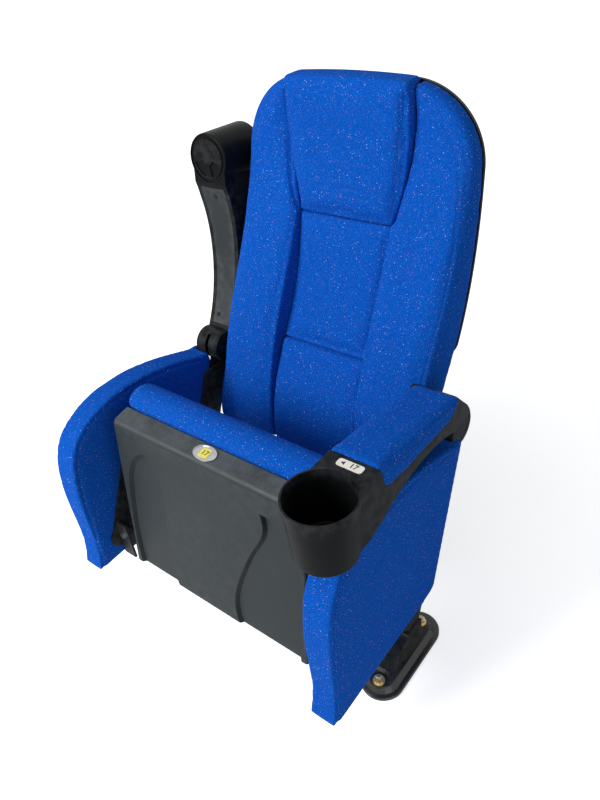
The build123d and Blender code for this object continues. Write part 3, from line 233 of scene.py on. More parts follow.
class NodeKit:
    """The shared node groups, each made once."""

    _made: dict[Effect, Tree] = {}

    @classmethod
    def get(cls, effect: Effect) -> Tree:
        """A group's tree.

        Args:
            effect: Which group. It is drawn by the method of the same name.

        Returns:
            The tree, made at the first call.
        """
        if effect not in cls._made:
            cls._made[effect] = getattr(cls, f"_{effect.value}")()
        return cls._made[effect]

    @staticmethod
    def _start(
        effect: Effect, outputs: Sequence[str], **inputs: float | Colour
    ) -> tuple[NodeSheet, dict[str, Socket], Node]:
        """Starts a group with named sockets. Its first input is Vector.

        Args:
            effect: The group.
            outputs: Names of its outputs. Color is a colour and the others are numbers.
            **inputs: Default of each other input; an underscore stands for a space.

        Returns:
            Its sheet, its input sockets by name, and its output node.
        """
        tree = bpy.data.node_groups.new(effect.value, "ShaderNodeTree")
        tree.interface.new_socket(name="Vector", in_out="INPUT", socket_type="NodeSocketVector")
        for name, default in inputs.items():
            kind = "Color" if isinstance(default, tuple) else "Float"
            socket = tree.interface.new_socket(
                name=name.replace("_", " "), in_out="INPUT", socket_type=f"NodeSocket{kind}"
            )
            socket.default_value = (*default, 1.0) if kind == "Color" else default
        for name in outputs:
            kind = "Color" if name == "Color" else "Float"
            tree.interface.new_socket(
                name=name, in_out="OUTPUT", socket_type=f"NodeSocket{kind}"
            )
        start = tree.nodes.new("NodeGroupInput")
        end = tree.nodes.new("NodeGroupOutput")
        named = {"Vector": start.outputs["Vector"]}
        named.update({name: start.outputs[name.replace("_", " ")] for name in inputs})
        return NodeSheet(tree), named, end

    @classmethod
    def _fleck_cloth(cls) -> Tree:
        """Dense wool-like cloth with small coloured flecks.

        Returns:
            The group: colour, roughness and height.
        """
        sheet, take, end = cls._start(
            Effect.FLECK_CLOTH,
            ("Color", "Roughness", "Height"),
            Ground=(0.01, 0.1, 0.6),
            Shade=(0.005, 0.06, 0.42),
            Light=(0.02, 0.2, 0.85),
            Fleck_Pitch=185.0,
            Fleck_Size=0.135,
        )
        place, shade, light = take["Vector"], take["Shade"], take["Light"]
        fibre = sheet.noise(place, 900.0, 2.0)
        tuft = sheet.add("TexVoronoi", Vector=place, Scale=620.0)
        broad = sheet.noise(place, 9.0, 3.0)
        colour = sheet.mix(sheet.remap(fibre, 0.35, 0.62), shade, take["Ground"])
        colour = sheet.mix(sheet.remap(fibre, 0.58, 0.74, 0.0, 0.8), colour, light)
        colour = sheet.mix(sheet.remap(broad, 0.3, 0.7, 0.0, 0.22), colour, shade)
        pepper = sheet.noise(place, 420.0, 1.0)
        colour = sheet.mix(sheet.remap(pepper, 0.56, 0.66, 0.0, 0.45), colour, light)
        colour = sheet.mix(sheet.remap(pepper, 0.44, 0.34, 0.0, 0.5), colour, shade)
        for shift, pitch_share, size_share, strength in (
            (0.0, 1.0, 1.0, 0.75), (37.0, 1.5, 0.85, 0.5), (71.0, 2.9, 1.6, 0.2)
        ):
            shifted = sheet.add("Mapping", Vector=place, Location=(shift, shift * 0.3, 0.0))
            pitch = sheet.times(take["Fleck_Pitch"], pitch_share)
            cells = sheet.add("TexVoronoi", Vector=shifted.outputs[0], Scale=pitch)
            near = sheet.times(take["Fleck_Size"], size_share)
            inside = sheet.maths("LESS_THAN", cells.outputs["Distance"], near)
            parts = sheet.add("SeparateColor", Color=cells.outputs["Color"])
            ramp = sheet.add("ValToRGB", Fac=parts.outputs["Red"])
            ramp.color_ramp.interpolation = "CONSTANT"
            cls._fleck_colours(ramp)
            chance = sheet.remap(parts.outputs["Green"], 0.15, 0.9, strength * 0.2, strength)
            colour = sheet.mix(sheet.times(inside, chance), colour, ramp.outputs["Color"])
        roughness = sheet.remap(fibre, 0.3, 0.7, 0.95, 0.8)
        height = sheet.maths("ADD", sheet.times(tuft.outputs["Distance"], -0.7), fibre)
        sheet.feed_all(end, Color=colour, Roughness=roughness, Height=height)
        return sheet.tree

    @staticmethod
    def _fleck_colours(ramp: Node) -> None:
        """Sets a colour ramp to the colours of the flecks.

        Args:
            ramp: The ramp node.
        """
        pale_blue, white, red = (0.34, 0.52, 0.88), (0.78, 0.78, 0.80), (0.62, 0.06, 0.14)
        orange, blue = (0.82, 0.40, 0.18), (0.06, 0.30, 0.80)
        stops = ((0.0, pale_blue), (0.30, white), (0.62, red), (0.76, orange), (0.88, blue))
        elements = ramp.color_ramp.elements
        while len(elements) < len(stops):
            elements.new(0.5)
        for element, (place, colour) in zip(elements, stops):
            element.position = place
            element.color = (*colour, 1.0)

    @classmethod
    def _mould_grain(cls) -> Tree:
        """The fine spark-eroded grain of a plastic moulding.

        Returns:
            The group: a height and a slow mottle.
        """
        sheet, take, end = cls._start(Effect.MOULD_GRAIN, ("Height", "Mottle"), Pitch=1400.0)
        pits = sheet.add("TexVoronoi", Vector=take["Vector"], Scale=take["Pitch"])
        soft = sheet.noise(take["Vector"], sheet.times(take["Pitch"], 0.6), 2.0)
        height = sheet.maths("ADD", pits.outputs["Distance"], soft)
        sheet.feed_all(end, Height=height, Mottle=sheet.noise(take["Vector"], 14.0, 4.0))
        return sheet.tree

    @classmethod
    def _scuffs(cls) -> Tree:
        """Pale rub marks and short scratches of a piece that shoes and bags touch.

        Returns:
            The group: a mask.
        """
        sheet, take, end = cls._start(Effect.SCUFFS, ("Mask",), Amount=0.5)
        place = take["Vector"]
        where = sheet.remap(sheet.noise(place, 7.0, 3.0), 0.5, 0.68)
        line = sheet.noise(place, 30.0, 2.0, (1.0, 1.0, 9.0))
        cross = sheet.noise(place, 26.0, 2.0, (10.0, 4.0, 1.2))
        fine = sheet.maths("MAXIMUM", sheet.remap(line, 0.66, 0.72), sheet.remap(cross, 0.68, 0.73))
        rub = sheet.noise(place, 22.0, 5.0, (1.0, 1.0, 0.4))
        marks = sheet.maths("ADD", fine, sheet.remap(rub, 0.52, 0.8, 0.0, 0.35))
        sheet.feed_all(end, Mask=sheet.times(sheet.times(where, marks), take["Amount"]))
        return sheet.tree

    @classmethod
    def _edge_rub(cls) -> Tree:
        """Where a finish is rubbed along outer edges.

        Returns:
            The group: a mask.
        """
        sheet, take, end = cls._start(Effect.EDGE_RUB, ("Mask",), Amount=0.5)
        edge = sheet.remap(sheet.add("NewGeometry").outputs["Pointiness"], 0.51, 0.56)
        broken = sheet.remap(sheet.noise(take["Vector"], 60.0, 4.0), 0.35, 0.65)
        sheet.feed_all(end, Mask=sheet.times(sheet.times(edge, broken), take["Amount"]))
        return sheet.tree

    @classmethod
    def _slope_painted_shade(cls) -> Tree:
        """Painted shade on the side walls of a pressed-in recess, which face forward and sideways.

        Returns:
            The group: a mask.
        """
        sheet, take, end = cls._start(Effect.SLOPE_PAINTED_SHADE, ("Mask",), Amount=0.5)
        parts = sheet.add("SeparateXYZ", Vector=sheet.add("TexCoord").outputs["Normal"])
        aside = sheet.maths("ABSOLUTE", parts.outputs["X"])
        slope = sheet.times(sheet.remap(aside, 0.2, 0.5), sheet.remap(aside, 0.97, 0.88))
        front = sheet.remap(parts.outputs["Y"], -0.25, -0.45)
        broken = sheet.remap(sheet.noise(take["Vector"], 40.0, 3.0), 0.2, 0.6, 0.75, 1.0)
        mask = sheet.times(sheet.times(slope, front), broken)
        sheet.feed_all(end, Mask=sheet.times(mask, take["Amount"]))
        return sheet.tree

    @classmethod
    def _settled_dust(cls) -> Tree:
        """Thin dust on surfaces that face up.

        Returns:
            The group: a mask.
        """
        sheet, take, end = cls._start(Effect.SETTLED_DUST, ("Mask",), Amount=0.3)
        parts = sheet.add("SeparateXYZ", Vector=sheet.add("TexCoord").outputs["Normal"])
        up = sheet.remap(parts.outputs["Z"], 0.3, 1.0)
        speck = sheet.remap(sheet.noise(take["Vector"], 350.0, 2.0), 0.55, 0.8)
        cloud = sheet.remap(sheet.noise(take["Vector"], 16.0, 3.0), 0.35, 0.75, 0.15, 0.6)
        mask = sheet.times(up, sheet.maths("ADD", sheet.times(speck, 0.5), cloud))
        sheet.feed_all(end, Mask=sheet.times(mask, take["Amount"]))
        return sheet.tree


# ---- finishes -----------------------------------------------------------------------------


class Coat(NodeSheet):
    """The node sheet of one material, with its Principled BSDF and its object coordinates."""

    def __init__(self, material: bpy.types.Material) -> None:
        """Empties the material's tree and places its surface.

        Args:
            material: The material.
        """
        super().__init__(NodeSheet.blank(material).tree)
        self.surface = self.add("BsdfPrincipled")
        self.place = self.add("TexCoord").outputs["Object"]

    def group(self, effect: Effect, **feeds: Value) -> Node:
        """Places a shared group on the material's coordinates."""
        return self.add("Group", {"node_tree": NodeKit.get(effect)}, Vector=self.place, **feeds)

    def mask(self, effect: Effect, amount: float) -> Socket:
        """Places a shared group that puts out a mask."""
        return self.group(effect, Amount=amount).outputs["Mask"]

    def grain(self, scale: float, detail: float, stretch: Point | None = None) -> Socket:
        """Noise on the material's coordinates."""
        return self.noise(self.place, scale, detail, stretch)

    def bump(self, height: Value, depth: float, strength: float) -> None:
        """Feeds a height into the surface's normal; the depth is what a height of 1 measures."""
        node = self.add("Bump", Strength=strength, Distance=depth, Height=height)
        self.feed(self.surface.inputs["Normal"], node.outputs[0])


class Finish:
    """A surface finish that makes one material, once."""

    _made: dict[str, bpy.types.Material] = {}
    name: str = "finish"

    def material(self) -> bpy.types.Material:
        """The material of this finish.

        Returns:
            The material, made at the first call.
        """
        if self.name not in Finish._made:
            made = bpy.data.materials.new(self.name)
            coat = Coat(made)
            self.draw(coat)
            coat.add("OutputMaterial", Surface=coat.surface.outputs[0])
            Finish._made[self.name] = made
        return Finish._made[self.name]

    def draw(self, coat: Coat) -> None:
        """Draws the finish's own nodes.

        Args:
            coat: The material's node sheet.
        """
        raise NotImplementedError


@dataclass(frozen=True)
class ClothFinish(Finish):
    """Blue upholstery cloth with coloured flecks."""

    name: str = "blue_fleck_cloth"
    ground: Colour = (0.0015, 0.092, 0.48)
    shade: Colour = (0.002, 0.062, 0.39)
    light: Colour = (0.004, 0.15, 0.64)
    specular: float = 0.03
    sheen: float = 0.01
    sheen_roughness: float = 0.45
    sheen_tint: Colour = (0.45, 0.65, 1.0)
    pile: float = 0.0007

    def draw(self, coat: Coat) -> None:
        """Draws the cloth.

        Args:
            coat: The material's node sheet.
        """
        cloth = coat.group(
            Effect.FLECK_CLOTH, Ground=self.ground, Shade=self.shade, Light=self.light
        )
        coat.feed_all(
            coat.surface,
            Base_Color=cloth.outputs["Color"],
            Roughness=cloth.outputs["Roughness"],
            Specular_IOR_Level=self.specular,
            Sheen_Weight=self.sheen,
            Sheen_Roughness=self.sheen_roughness,
            Sheen_Tint=self.sheen_tint,
        )
        coat.bump(cloth.outputs["Height"], self.pile, 0.7)


@dataclass(frozen=True)
class MouldingFinish(Finish):
    """Grained plastic moulding with rub marks, and painted shade on recess slopes where asked."""

    name: str = "moulding"
    colour: Colour = (0.03, 0.033, 0.035)
    worn: Colour = (0.16, 0.17, 0.17)
    gloss: float = 0.42
    grain_pitch: float = 1400.0
    grain_depth: float = 0.00012
    scuffs: float = 0.5
    edge_rub: float = 0.4
    dust: float = 0.0
    specular: float = 0.2
    # strength of the painted shade on recess slopes
    recess_shade: float = 0.0
    dull_share: float = 0.86
    # how dark the painted shade on recess slopes is, as a share of the colour
    recess_shade_share: float = 0.25
    dust_colour: Colour = (0.40, 0.45, 0.48)

    def draw(self, coat: Coat) -> None:
        """Draws the moulding.

        Args:
            coat: The material's node sheet.
        """
        grain = coat.group(Effect.MOULD_GRAIN, Pitch=self.grain_pitch)
        mottle = grain.outputs["Mottle"]
        scuffs = coat.mask(Effect.SCUFFS, self.scuffs)
        rub = coat.mask(Effect.EDGE_RUB, self.edge_rub)
        dull = tuple(part * self.dull_share for part in self.colour)
        colour = coat.mix(coat.remap(mottle, 0.3, 0.7), dull, self.colour)
        colour = coat.mix(coat.maths("MAXIMUM", scuffs, rub), colour, self.worn)
        # painted shade: the recess slopes are darkened as if they lay in shadow
        if self.recess_shade:
            slope = coat.mask(Effect.SLOPE_PAINTED_SHADE, self.recess_shade)
            dark = tuple(part * self.recess_shade_share for part in self.colour)
            colour = coat.mix(slope, colour, dark)
        if self.dust:
            dust = coat.mask(Effect.SETTLED_DUST, self.dust)
            colour = coat.mix(dust, colour, self.dust_colour)
        rough = coat.remap(mottle, 0.3, 0.7, self.gloss - 0.04, self.gloss + 0.06)
        rough = coat.maths("ADD", rough, coat.times(scuffs, 0.25))
        coat.feed_all(
            coat.surface, Base_Color=colour, Roughness=rough, Specular_IOR_Level=self.specular
        )
        coat.bump(grain.outputs["Height"], self.grain_depth, 0.5)


@dataclass(frozen=True)
class EnamelFinish(Finish):
    """Paint on steel or cast iron, with an orange-peel surface."""

    name: str = "enamel"
    colour: Colour = (0.012, 0.013, 0.014)
    bare: Colour = (0.2, 0.19, 0.18)
    gloss: float = 0.2
    clear_coat: float = 0.5
    peel_pitch: float = 160.0
    peel_depth: float = 0.0003
    wear: float = 0.5
    dust: float = 0.25
    specular: float = 0.25
    clear_coat_roughness: float = 0.12
    lighter_share: float = 1.6
    dust_colour: Colour = (0.4, 0.38, 0.34)

    def draw(self, coat: Coat) -> None:
        """Draws the enamel.

        Args:
            coat: The material's node sheet.
        """
        peel = coat.grain(self.peel_pitch, 3.0)
        rub = coat.mask(Effect.EDGE_RUB, self.wear)
        dust = coat.mask(Effect.SETTLED_DUST, self.dust)
        mottle = coat.group(Effect.MOULD_GRAIN).outputs["Mottle"]
        lighter = tuple(part * self.lighter_share for part in self.colour)
        colour = coat.mix(coat.remap(mottle, 0.3, 0.7), self.colour, lighter)
        colour = coat.mix(rub, colour, self.bare)
        colour = coat.mix(dust, colour, self.dust_colour)
        rough = coat.remap(mottle, 0.3, 0.7, self.gloss, self.gloss + 0.1)
        coat.feed_all(
            coat.surface,
            Base_Color=colour,
            Roughness=coat.maths("ADD", rough, coat.times(dust, 0.6)),
            Specular_IOR_Level=self.specular,
            Coat_Weight=self.clear_coat,
            Coat_Roughness=self.clear_coat_roughness,
        )
        coat.bump(peel, self.peel_depth, 0.4)


@dataclass(frozen=True)
class MetalFinish(Finish):
    """Bare, plated or polished metal."""

    name: str = "bright_steel"
    colour: Colour = (0.55, 0.55, 0.56)
    stain: Colour = (0.3, 0.29, 0.28)
    gloss: float = 0.28
    brush: float = 0.0002
    brush_stretch: Point = (1.0, 14.0, 14.0)
    staining: float = 0.4

    def draw(self, coat: Coat) -> None:
        """Draws the metal.

        Args:
            coat: The material's node sheet.
        """
        line = coat.grain(220.0, 3.0, self.brush_stretch)
        cloud = coat.grain(70.0, 4.0)
        stained = coat.remap(cloud, 0.4, 0.7, 0.0, self.staining)
        coat.feed_all(
            coat.surface,
            Base_Color=coat.mix(stained, self.colour, self.stain),
            Metallic=1.0,
            Roughness=coat.remap(line, 0.3, 0.7, self.gloss - 0.06, self.gloss + 0.1),
        )
        if self.brush:
            coat.bump(line, self.brush, 0.3)


@dataclass(frozen=True)
class WoodFinish(Finish):
    """Raw plywood."""

    name: str = "plywood"
    pale: Colour = (0.62, 0.44, 0.25)
    dark: Colour = (0.36, 0.22, 0.11)
    fibre_depth: float = 0.0003

    def draw(self, coat: Coat) -> None:
        """Draws the wood.

        Args:
            coat: The material's node sheet.
        """
        figure = coat.grain(14.0, 4.0, (1.0, 6.0, 1.0))
        fibre = coat.grain(160.0, 2.0, (1.0, 5.0, 0.2))
        colour = coat.mix(coat.remap(figure, 0.35, 0.7), self.pale, self.dark)
        colour = coat.mix(coat.remap(fibre, 0.5, 0.8, 0.0, 0.6), colour, self.dark)
        rough = coat.remap(fibre, 0.3, 0.7, 0.55, 0.75)
        coat.feed_all(coat.surface, Base_Color=colour, Roughness=rough)
        coat.bump(fibre, self.fibre_depth, 0.4)


@dataclass(frozen=True)
class PlateFinish(Finish):
    """Smooth lacquered or printed plate."""

    name: str = "plate"
    colour: Colour = (0.85, 0.83, 0.76)
    aged: Colour = (0.7, 0.65, 0.52)
    gloss: float = 0.3
    texture_depth: float = 0.00005

    def draw(self, coat: Coat) -> None:
        """Draws the plate.

        Args:
            coat: The material's node sheet.
        """
        cloud = coat.grain(90.0, 4.0)
        fine = coat.grain(900.0, 2.0)
        colour = coat.mix(coat.remap(cloud, 0.4, 0.75, 0.0, 0.6), self.colour, self.aged)
        rough = coat.remap(cloud, 0.3, 0.7, self.gloss, self.gloss + 0.15)
        coat.feed_all(coat.surface, Base_Color=colour, Roughness=rough)
        coat.bump(fine, self.texture_depth, 0.3)


class Palette:
    """The finishes of this seat."""

    CLOTH = ClothFinish()
    # the pan's recess slopes carry painted shade
    PAN = MouldingFinish(
        "pan_plastic", (0.022, 0.029, 0.031), (0.09, 0.105, 0.105), 0.42,
        scuffs=0.55, edge_rub=0.25, dust=0.20, specular=0.22, recess_shade=0.85,
    )
    ARM = MouldingFinish(
        "arm_plastic", (0.0045, 0.005, 0.0055), (0.04, 0.045, 0.05), 0.40,
        scuffs=0.10, edge_rub=0.5, specular=0.08,
    )
    COVER = MouldingFinish(
        "cover_plastic", (0.024, 0.030, 0.033), (0.08, 0.09, 0.095), 0.44, scuffs=0.3
    )
    SHELL = MouldingFinish(
        "shell_plastic", (0.009, 0.009, 0.010), (0.06, 0.06, 0.06), 0.45,
        grain_pitch=900.0, grain_depth=0.0003, scuffs=0.4,
    )
    CASTING = EnamelFinish(
        "black_casting", (0.006, 0.007, 0.007), (0.08, 0.08, 0.08),
        gloss=0.16, clear_coat=0.5, dust=0.12,
    )
    STEEL = EnamelFinish(
        "black_steel", (0.006, 0.006, 0.007), (0.06, 0.06, 0.06),
        gloss=0.42, clear_coat=0.0, peel_pitch=420.0, dust=0.03,
    )
    BRIGHT = MetalFinish("bright_steel")
    ZINC = MetalFinish(
        "yellow_zinc", (0.72, 0.58, 0.30), (0.45, 0.42, 0.25), 0.3, brush=0.0001, staining=0.7
    )
    SPRING = MetalFinish("spring_steel", (0.2, 0.2, 0.21), (0.1, 0.08, 0.06), 0.35)
    STUD = MetalFinish(
        "stud_zinc", (0.42, 0.40, 0.34), (0.2, 0.19, 0.16), 0.35,
        brush=0.0004, brush_stretch=(1.0, 1.0, 9.0), staining=0.6,
    )
    CHROME = MetalFinish(
        "badge_chrome", (0.50, 0.50, 0.52), (0.32, 0.32, 0.33), 0.14, brush=0.0, staining=0.5
    )
    PLYWOOD = WoodFinish()
    NYLON = PlateFinish("nylon", (0.30, 0.29, 0.26), (0.22, 0.2, 0.17), 0.4)
    RUBBER = MouldingFinish(
        "black_rubber", (0.02, 0.02, 0.02), (0.12, 0.12, 0.12), 0.7, scuffs=0.3
    )
    YELLOW = PlateFinish("badge_yellow", (0.80, 0.72, 0.10), (0.62, 0.52, 0.08), 0.35)
    CREAM = PlateFinish("cream_plate")
    INK = PlateFinish("black_ink", (0.012, 0.012, 0.012), (0.05, 0.05, 0.05), 0.4)
    THREAD = PlateFinish("blue_thread", (0.02, 0.10, 0.46), (0.05, 0.2, 0.65), 0.7)


# ---- pieces and meshes --------------------------------------------------------------------


def dress(finishes: dict[str, Finish], side: Side | None = None) -> None:
    """Gives pieces of the frame their finish.

    Args:
        finishes: CAD node to finish, without the side in its name.
        side: The side of the nodes, where they have one.
    """
    for node, finish in finishes.items():
        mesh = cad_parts[side.of(node) if side else node].data
        mesh.materials.clear()
        mesh.materials.append(finish.material())


def show(name: str, data: bpy.types.ID) -> Piece:
    """Puts a mesh, curve, lamp or camera in the scene.

    Args:
        name: The new object's name.
        data: Its data.

    Returns:
        The object.
    """
    piece = bpy.data.objects.new(name, data)
    bpy.context.scene.collection.objects.link(piece)
    return piece


def show_mesh(name: str, mesh: Mesh, finish: Finish) -> Piece:
    """Makes a shown piece from a mesh.

    Args:
        name: The piece's name.
        mesh: Its mesh.
        finish: Its finish.

    Returns:
        The new object, smooth shaded.
    """
    mesh.materials.clear()
    mesh.materials.append(finish.material())
    mesh.shade_smooth()
    return show(name, mesh)


def finished(work: bmesh.types.BMesh, name: str) -> Mesh:
    """Turns an edited mesh into a named one and frees it.

    Args:
        work: The edited mesh.
        name: The new mesh's name.

    Returns:
        The new mesh.
    """
    mesh = bpy.data.meshes.new(name)
    work.to_mesh(mesh)
    work.free()
    return mesh


def rows(items: bpy.types.bpy_prop_collection, name: str) -> np.ndarray:
    """Reads a vector from every item.

    Args:
        items: Vertices or normals.
        name: The vector's property.

    Returns:
        One row for each item.
    """
    flat = np.empty(len(items) * 3, np.float32)
    items.foreach_get(name, flat)
    return flat.reshape(-1, 3).astype(float)


def coordinates(mesh: Mesh) -> np.ndarray:
    """Vertex positions of a mesh, one row each."""
    return rows(mesh.vertices, "co")


def normals(mesh: Mesh) -> np.ndarray:
    """Vertex normals of a mesh, one row each."""
    return rows(mesh.vertex_normals, "vector")


def place_vertices(mesh: Mesh, places: np.ndarray) -> None:
    """Moves every vertex of a mesh to its row of the places."""
    mesh.vertices.foreach_set("co", places.reshape(-1))
    mesh.update()


def surface_tree(mesh: Mesh) -> BVHTree:
    """A tree that finds the nearest place on a mesh."""
    corners = [vertex.co[:] for vertex in mesh.vertices]
    return BVHTree.FromPolygons(corners, [polygon.vertices[:] for polygon in mesh.polygons])


def evaluated(piece: Piece) -> Mesh:
    """A copy of an object's mesh with its modifiers applied.

    Args:
        piece: The object.

    Returns:
        The new mesh.
    """
    bpy.context.view_layer.update()
    graph = bpy.context.evaluated_depsgraph_get()
    return bpy.data.meshes.new_from_object(piece.evaluated_get(graph), depsgraph=graph)


def apply_modifiers(piece: Piece) -> None:
    """Puts the result of an object's modifiers in place of its mesh.

    Args:
        piece: The object.
    """
    mesh = evaluated(piece)
    piece.modifiers.clear()
    piece.data = mesh


def outer_skin(mesh: Mesh, name: str) -> Mesh:
    """Welds a mesh and keeps only its largest shell, so that no inner room is padded.

    Args:
        mesh: A closed mesh, perhaps with rooms inside.
        name: The new mesh's name.

    Returns:
        A new mesh.
    """
    work = bmesh.new()
    work.from_mesh(mesh)
    bmesh.ops.remove_doubles(work, verts=work.verts, dist=WELD)
    left = set(work.verts)
    shells: list[set] = []
    while left:
        shell = {left.pop()}
        edge = list(shell)
        while edge:
            vertex = edge.pop()
            for link in vertex.link_edges:
                other = link.other_vert(vertex)
                if other in left:
                    left.discard(other)
                    shell.add(other)
                    edge.append(other)
        shells.append(shell)

    def reach(shell: set) -> float:
        """Diagonal of a shell's box."""
        places = np.array([vertex.co[:] for vertex in shell])
        return float(np.linalg.norm(places.max(0) - places.min(0)))

    keep = max(shells, key=reach)
    rooms = [vertex for vertex in work.verts if vertex not in keep]
    bmesh.ops.delete(work, geom=rooms, context="VERTS")
    return finished(work, name)


def dense(points: Sequence[Point], step: float) -> list[Vector]:
    """Points along a smooth line through the given ones, evenly spaced.

    Args:
        points: At least two points.
        step: Wanted distance between the results.

    Returns:
        The points, ends included.
    """
    fixed = [Vector(point) for point in points]
    padded = [2 * fixed[0] - fixed[1], *fixed, 2 * fixed[-1] - fixed[-2]]
    fine: list[Vector] = []
    for before, start, end, after in zip(padded, padded[1:], padded[2:], padded[3:]):
        bend = 2 * before - 5 * start + 4 * end - after
        twist = 3 * start - before - 3 * end + after
        for share in np.linspace(0.0, 1.0, 24, endpoint=False):
            line = 2 * start + (end - before) * share
            fine.append(0.5 * (line + bend * share * share + twist * share ** 3))
    fine.append(fixed[-1])
    even = [fine[0]]
    travelled = 0.0
    for start, end in zip(fine, fine[1:]):
        run = (end - start).length
        while run and travelled + run >= step:
            start = start + (end - start) * ((step - travelled) / run)
            run = (end - start).length
            travelled = 0.0
            even.append(start)
        travelled += run
    return even


# ---- soft pieces --------------------------------------------------------------------------


@dataclass(frozen=True)
class Seam:
    """A sewn line: its cloth is drawn in along it, and thread shows beside it."""

    points: tuple[Point, ...]
    depth: float = 0.0022
    width: float = 0.0045
    stitch: float = 0.0045
    gap: float = 0.0022
    offset: float = 0.0
    thread: float = 0.0008


@dataclass
class SoftPiece:
    """A padded section that swells out of its CAD solid and takes that solid's place."""

    name: str
    node: str
    body: Body
    voxel: float = 0.005
    inset: float = 0.0015  # how far inside the solid's skin the cloth starts
    rounding: int = 8
    hug: float = 0.75  # share of the way back to the solid's skin after rounding
    pressure: float = 4.0
    swell: float = 0.008
    fill: float = 0.75
    hold: Rule | None = None  # share of the swell at each place
    shape: Rule | None = None  # where each place moves before the cloth starts
    seams: tuple[Seam, ...] = ()
    work: Piece | None = field(default=None, repr=False)
    start: np.ndarray | None = field(default=None, repr=False)

    def prepare(self) -> None:
        """Makes the even, rounded mesh that the cloth starts from."""
        skin = outer_skin(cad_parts[self.node].data, f"{self.name}_start")
        self.work = show(f"{self.name}_start", skin)
        remesh = self.work.modifiers.new("even", "REMESH")
        remesh.mode = "VOXEL"
        remesh.voxel_size = self.voxel
        apply_modifiers(self.work)
        smooth = self.work.modifiers.new("round", "SMOOTH")
        smooth.factor = 0.5
        smooth.iterations = self.rounding
        apply_modifiers(self.work)
        mesh = self.work.data
        places = coordinates(mesh)
        tree = surface_tree(skin)
        nearest = np.array([tree.find_nearest(place)[0][:] for place in places])
        places += (nearest - places) * self.hug
        place_vertices(mesh, places)
        if self.shape:
            places = self.shape(places, normals(mesh))
        place_vertices(mesh, places - normals(mesh) * self.inset)
        self.start = coordinates(mesh)
        self.cover()

    def cover(self) -> None:
        """Gives the mesh its cloth, blown up from inside."""
        cloth = self.work.modifiers.new("cover", "CLOTH")
        cloth.settings.quality = 5
        cloth.settings.mass = 0.3
        cloth.settings.use_pressure = True
        cloth.settings.uniform_pressure_force = self.pressure
        cloth.settings.effector_weights.gravity = 0.0
        cloth.collision_settings.use_collision = False

    def risen(self) -> np.ndarray:
        """How far the cloth has come out of its start, capped and held.

        Returns:
            A distance for each vertex, along its normal.
        """
        out = normals(self.work.data)
        swollen = evaluated(self.work)
        moved = coordinates(swollen)
        bpy.data.meshes.remove(swollen)
        cap = self.swell + self.inset
        rise = np.maximum(((moved - self.start) * out).sum(axis=1), 0.0)
        rise = cap * np.tanh(rise / cap)
        if self.hold:
            past = np.maximum(rise - self.inset, 0.0)
            rise = np.minimum(self.inset, rise) + past * self.hold(self.start, out)
        return np.maximum(rise, self.inset * LEAST_RISE)

    def settle(self) -> Piece:
        """Takes the swollen cover, sews it and puts it in the frame.

        Returns:
            The finished piece.
        """
        rise = self.risen()
        mesh = self.work.data
        place_vertices(mesh, self.start + normals(mesh) * rise[:, None])
        self.work.modifiers.clear()
        finer = self.work.modifiers.new("finer", "SUBSURF")
        finer.levels = 1
        finer.render_levels = 1
        fine = evaluated(self.work)
        bpy.data.objects.remove(self.work)
        for seam in self.seams:
            self.draw_in(fine, seam)
        piece = show_mesh(self.name, fine, Palette.CLOTH)
        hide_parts(self.node)
        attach(piece, self.body.value)
        for number, seam in enumerate(self.seams):
            self.stitch(piece, seam, number)
        return piece

    @staticmethod
    def draw_in(mesh: Mesh, seam: Seam) -> None:
        """Sinks the cloth along a seam.

        Args:
            mesh: The cover's mesh.
            seam: The seam.
        """
        tree = surface_tree(mesh)
        on_cloth = [tree.find_nearest(point)[0] for point in dense(seam.points, seam.width / 2)]
        near = KDTree(len(on_cloth))
        for index, point in enumerate(on_cloth):
            near.insert(point, index)
        near.balance()
        places, out = coordinates(mesh), normals(mesh)
        reach = 3 * seam.width
        low = np.min([point[:] for point in on_cloth], axis=0) - reach
        high = np.max([point[:] for point in on_cloth], axis=0) + reach
        for index in np.nonzero(((places > low) & (places < high)).all(axis=1))[0]:
            distance = near.find(places[index])[2]
            if distance < reach:
                sunk = seam.depth * math.exp(-((distance / seam.width) ** 2))
                places[index] -= out[index] * sunk
        place_vertices(mesh, places)

    def stitch(self, piece: Piece, seam: Seam, number: int) -> None:
        """Lays thread beside a seam.

        Args:
            piece: The cover.
            seam: The seam.
            number: Its number on this piece.
        """
        if not seam.thread:
            return
        tree = surface_tree(piece.data)
        line = dense(seam.points, seam.stitch + seam.gap)
        size = (seam.stitch / 2, seam.thread / 2, seam.thread / 2, 1.0)
        work = bmesh.new()
        for before, after in zip(line, line[1:]):
            along = (after - before).normalized()
            place, out = tree.find_nearest((before + after) / 2)[:2]
            side = along.cross(out).normalized()
            place, out = tree.find_nearest(place + side * seam.offset)[:2]
            side = along.cross(out).normalized()
            along = out.cross(side).normalized()
            turn = Matrix((along, side, out)).transposed().to_4x4()
            seat = Matrix.Translation(place + out * seam.thread * 0.15)
            matrix = seat @ turn @ Matrix.Diagonal(size)
            bmesh.ops.create_icosphere(work, subdivisions=1, radius=1.0, matrix=matrix)
        name = f"{self.name}_thread_{number}"
        thread = show_mesh(name, finished(work, name), Palette.THREAD)
        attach(thread, self.body.value)


def blow_up(pieces: Sequence[SoftPiece]) -> None:
    """Runs the cloth of every soft piece together.

    Args:
        pieces: The soft pieces.
    """
    for piece in pieces:
        piece.prepare()
    for step in range(1, CLOTH_STEPS + 1):
        bpy.context.scene.frame_set(step)
    for piece in pieces:
        made = piece.settle()
        LOG.info("soft piece %s: %d faces", made.name, len(made.data.polygons))
    bpy.context.scene.frame_set(1)


# ---- sub-assemblies -----------------------------------------------------------------------


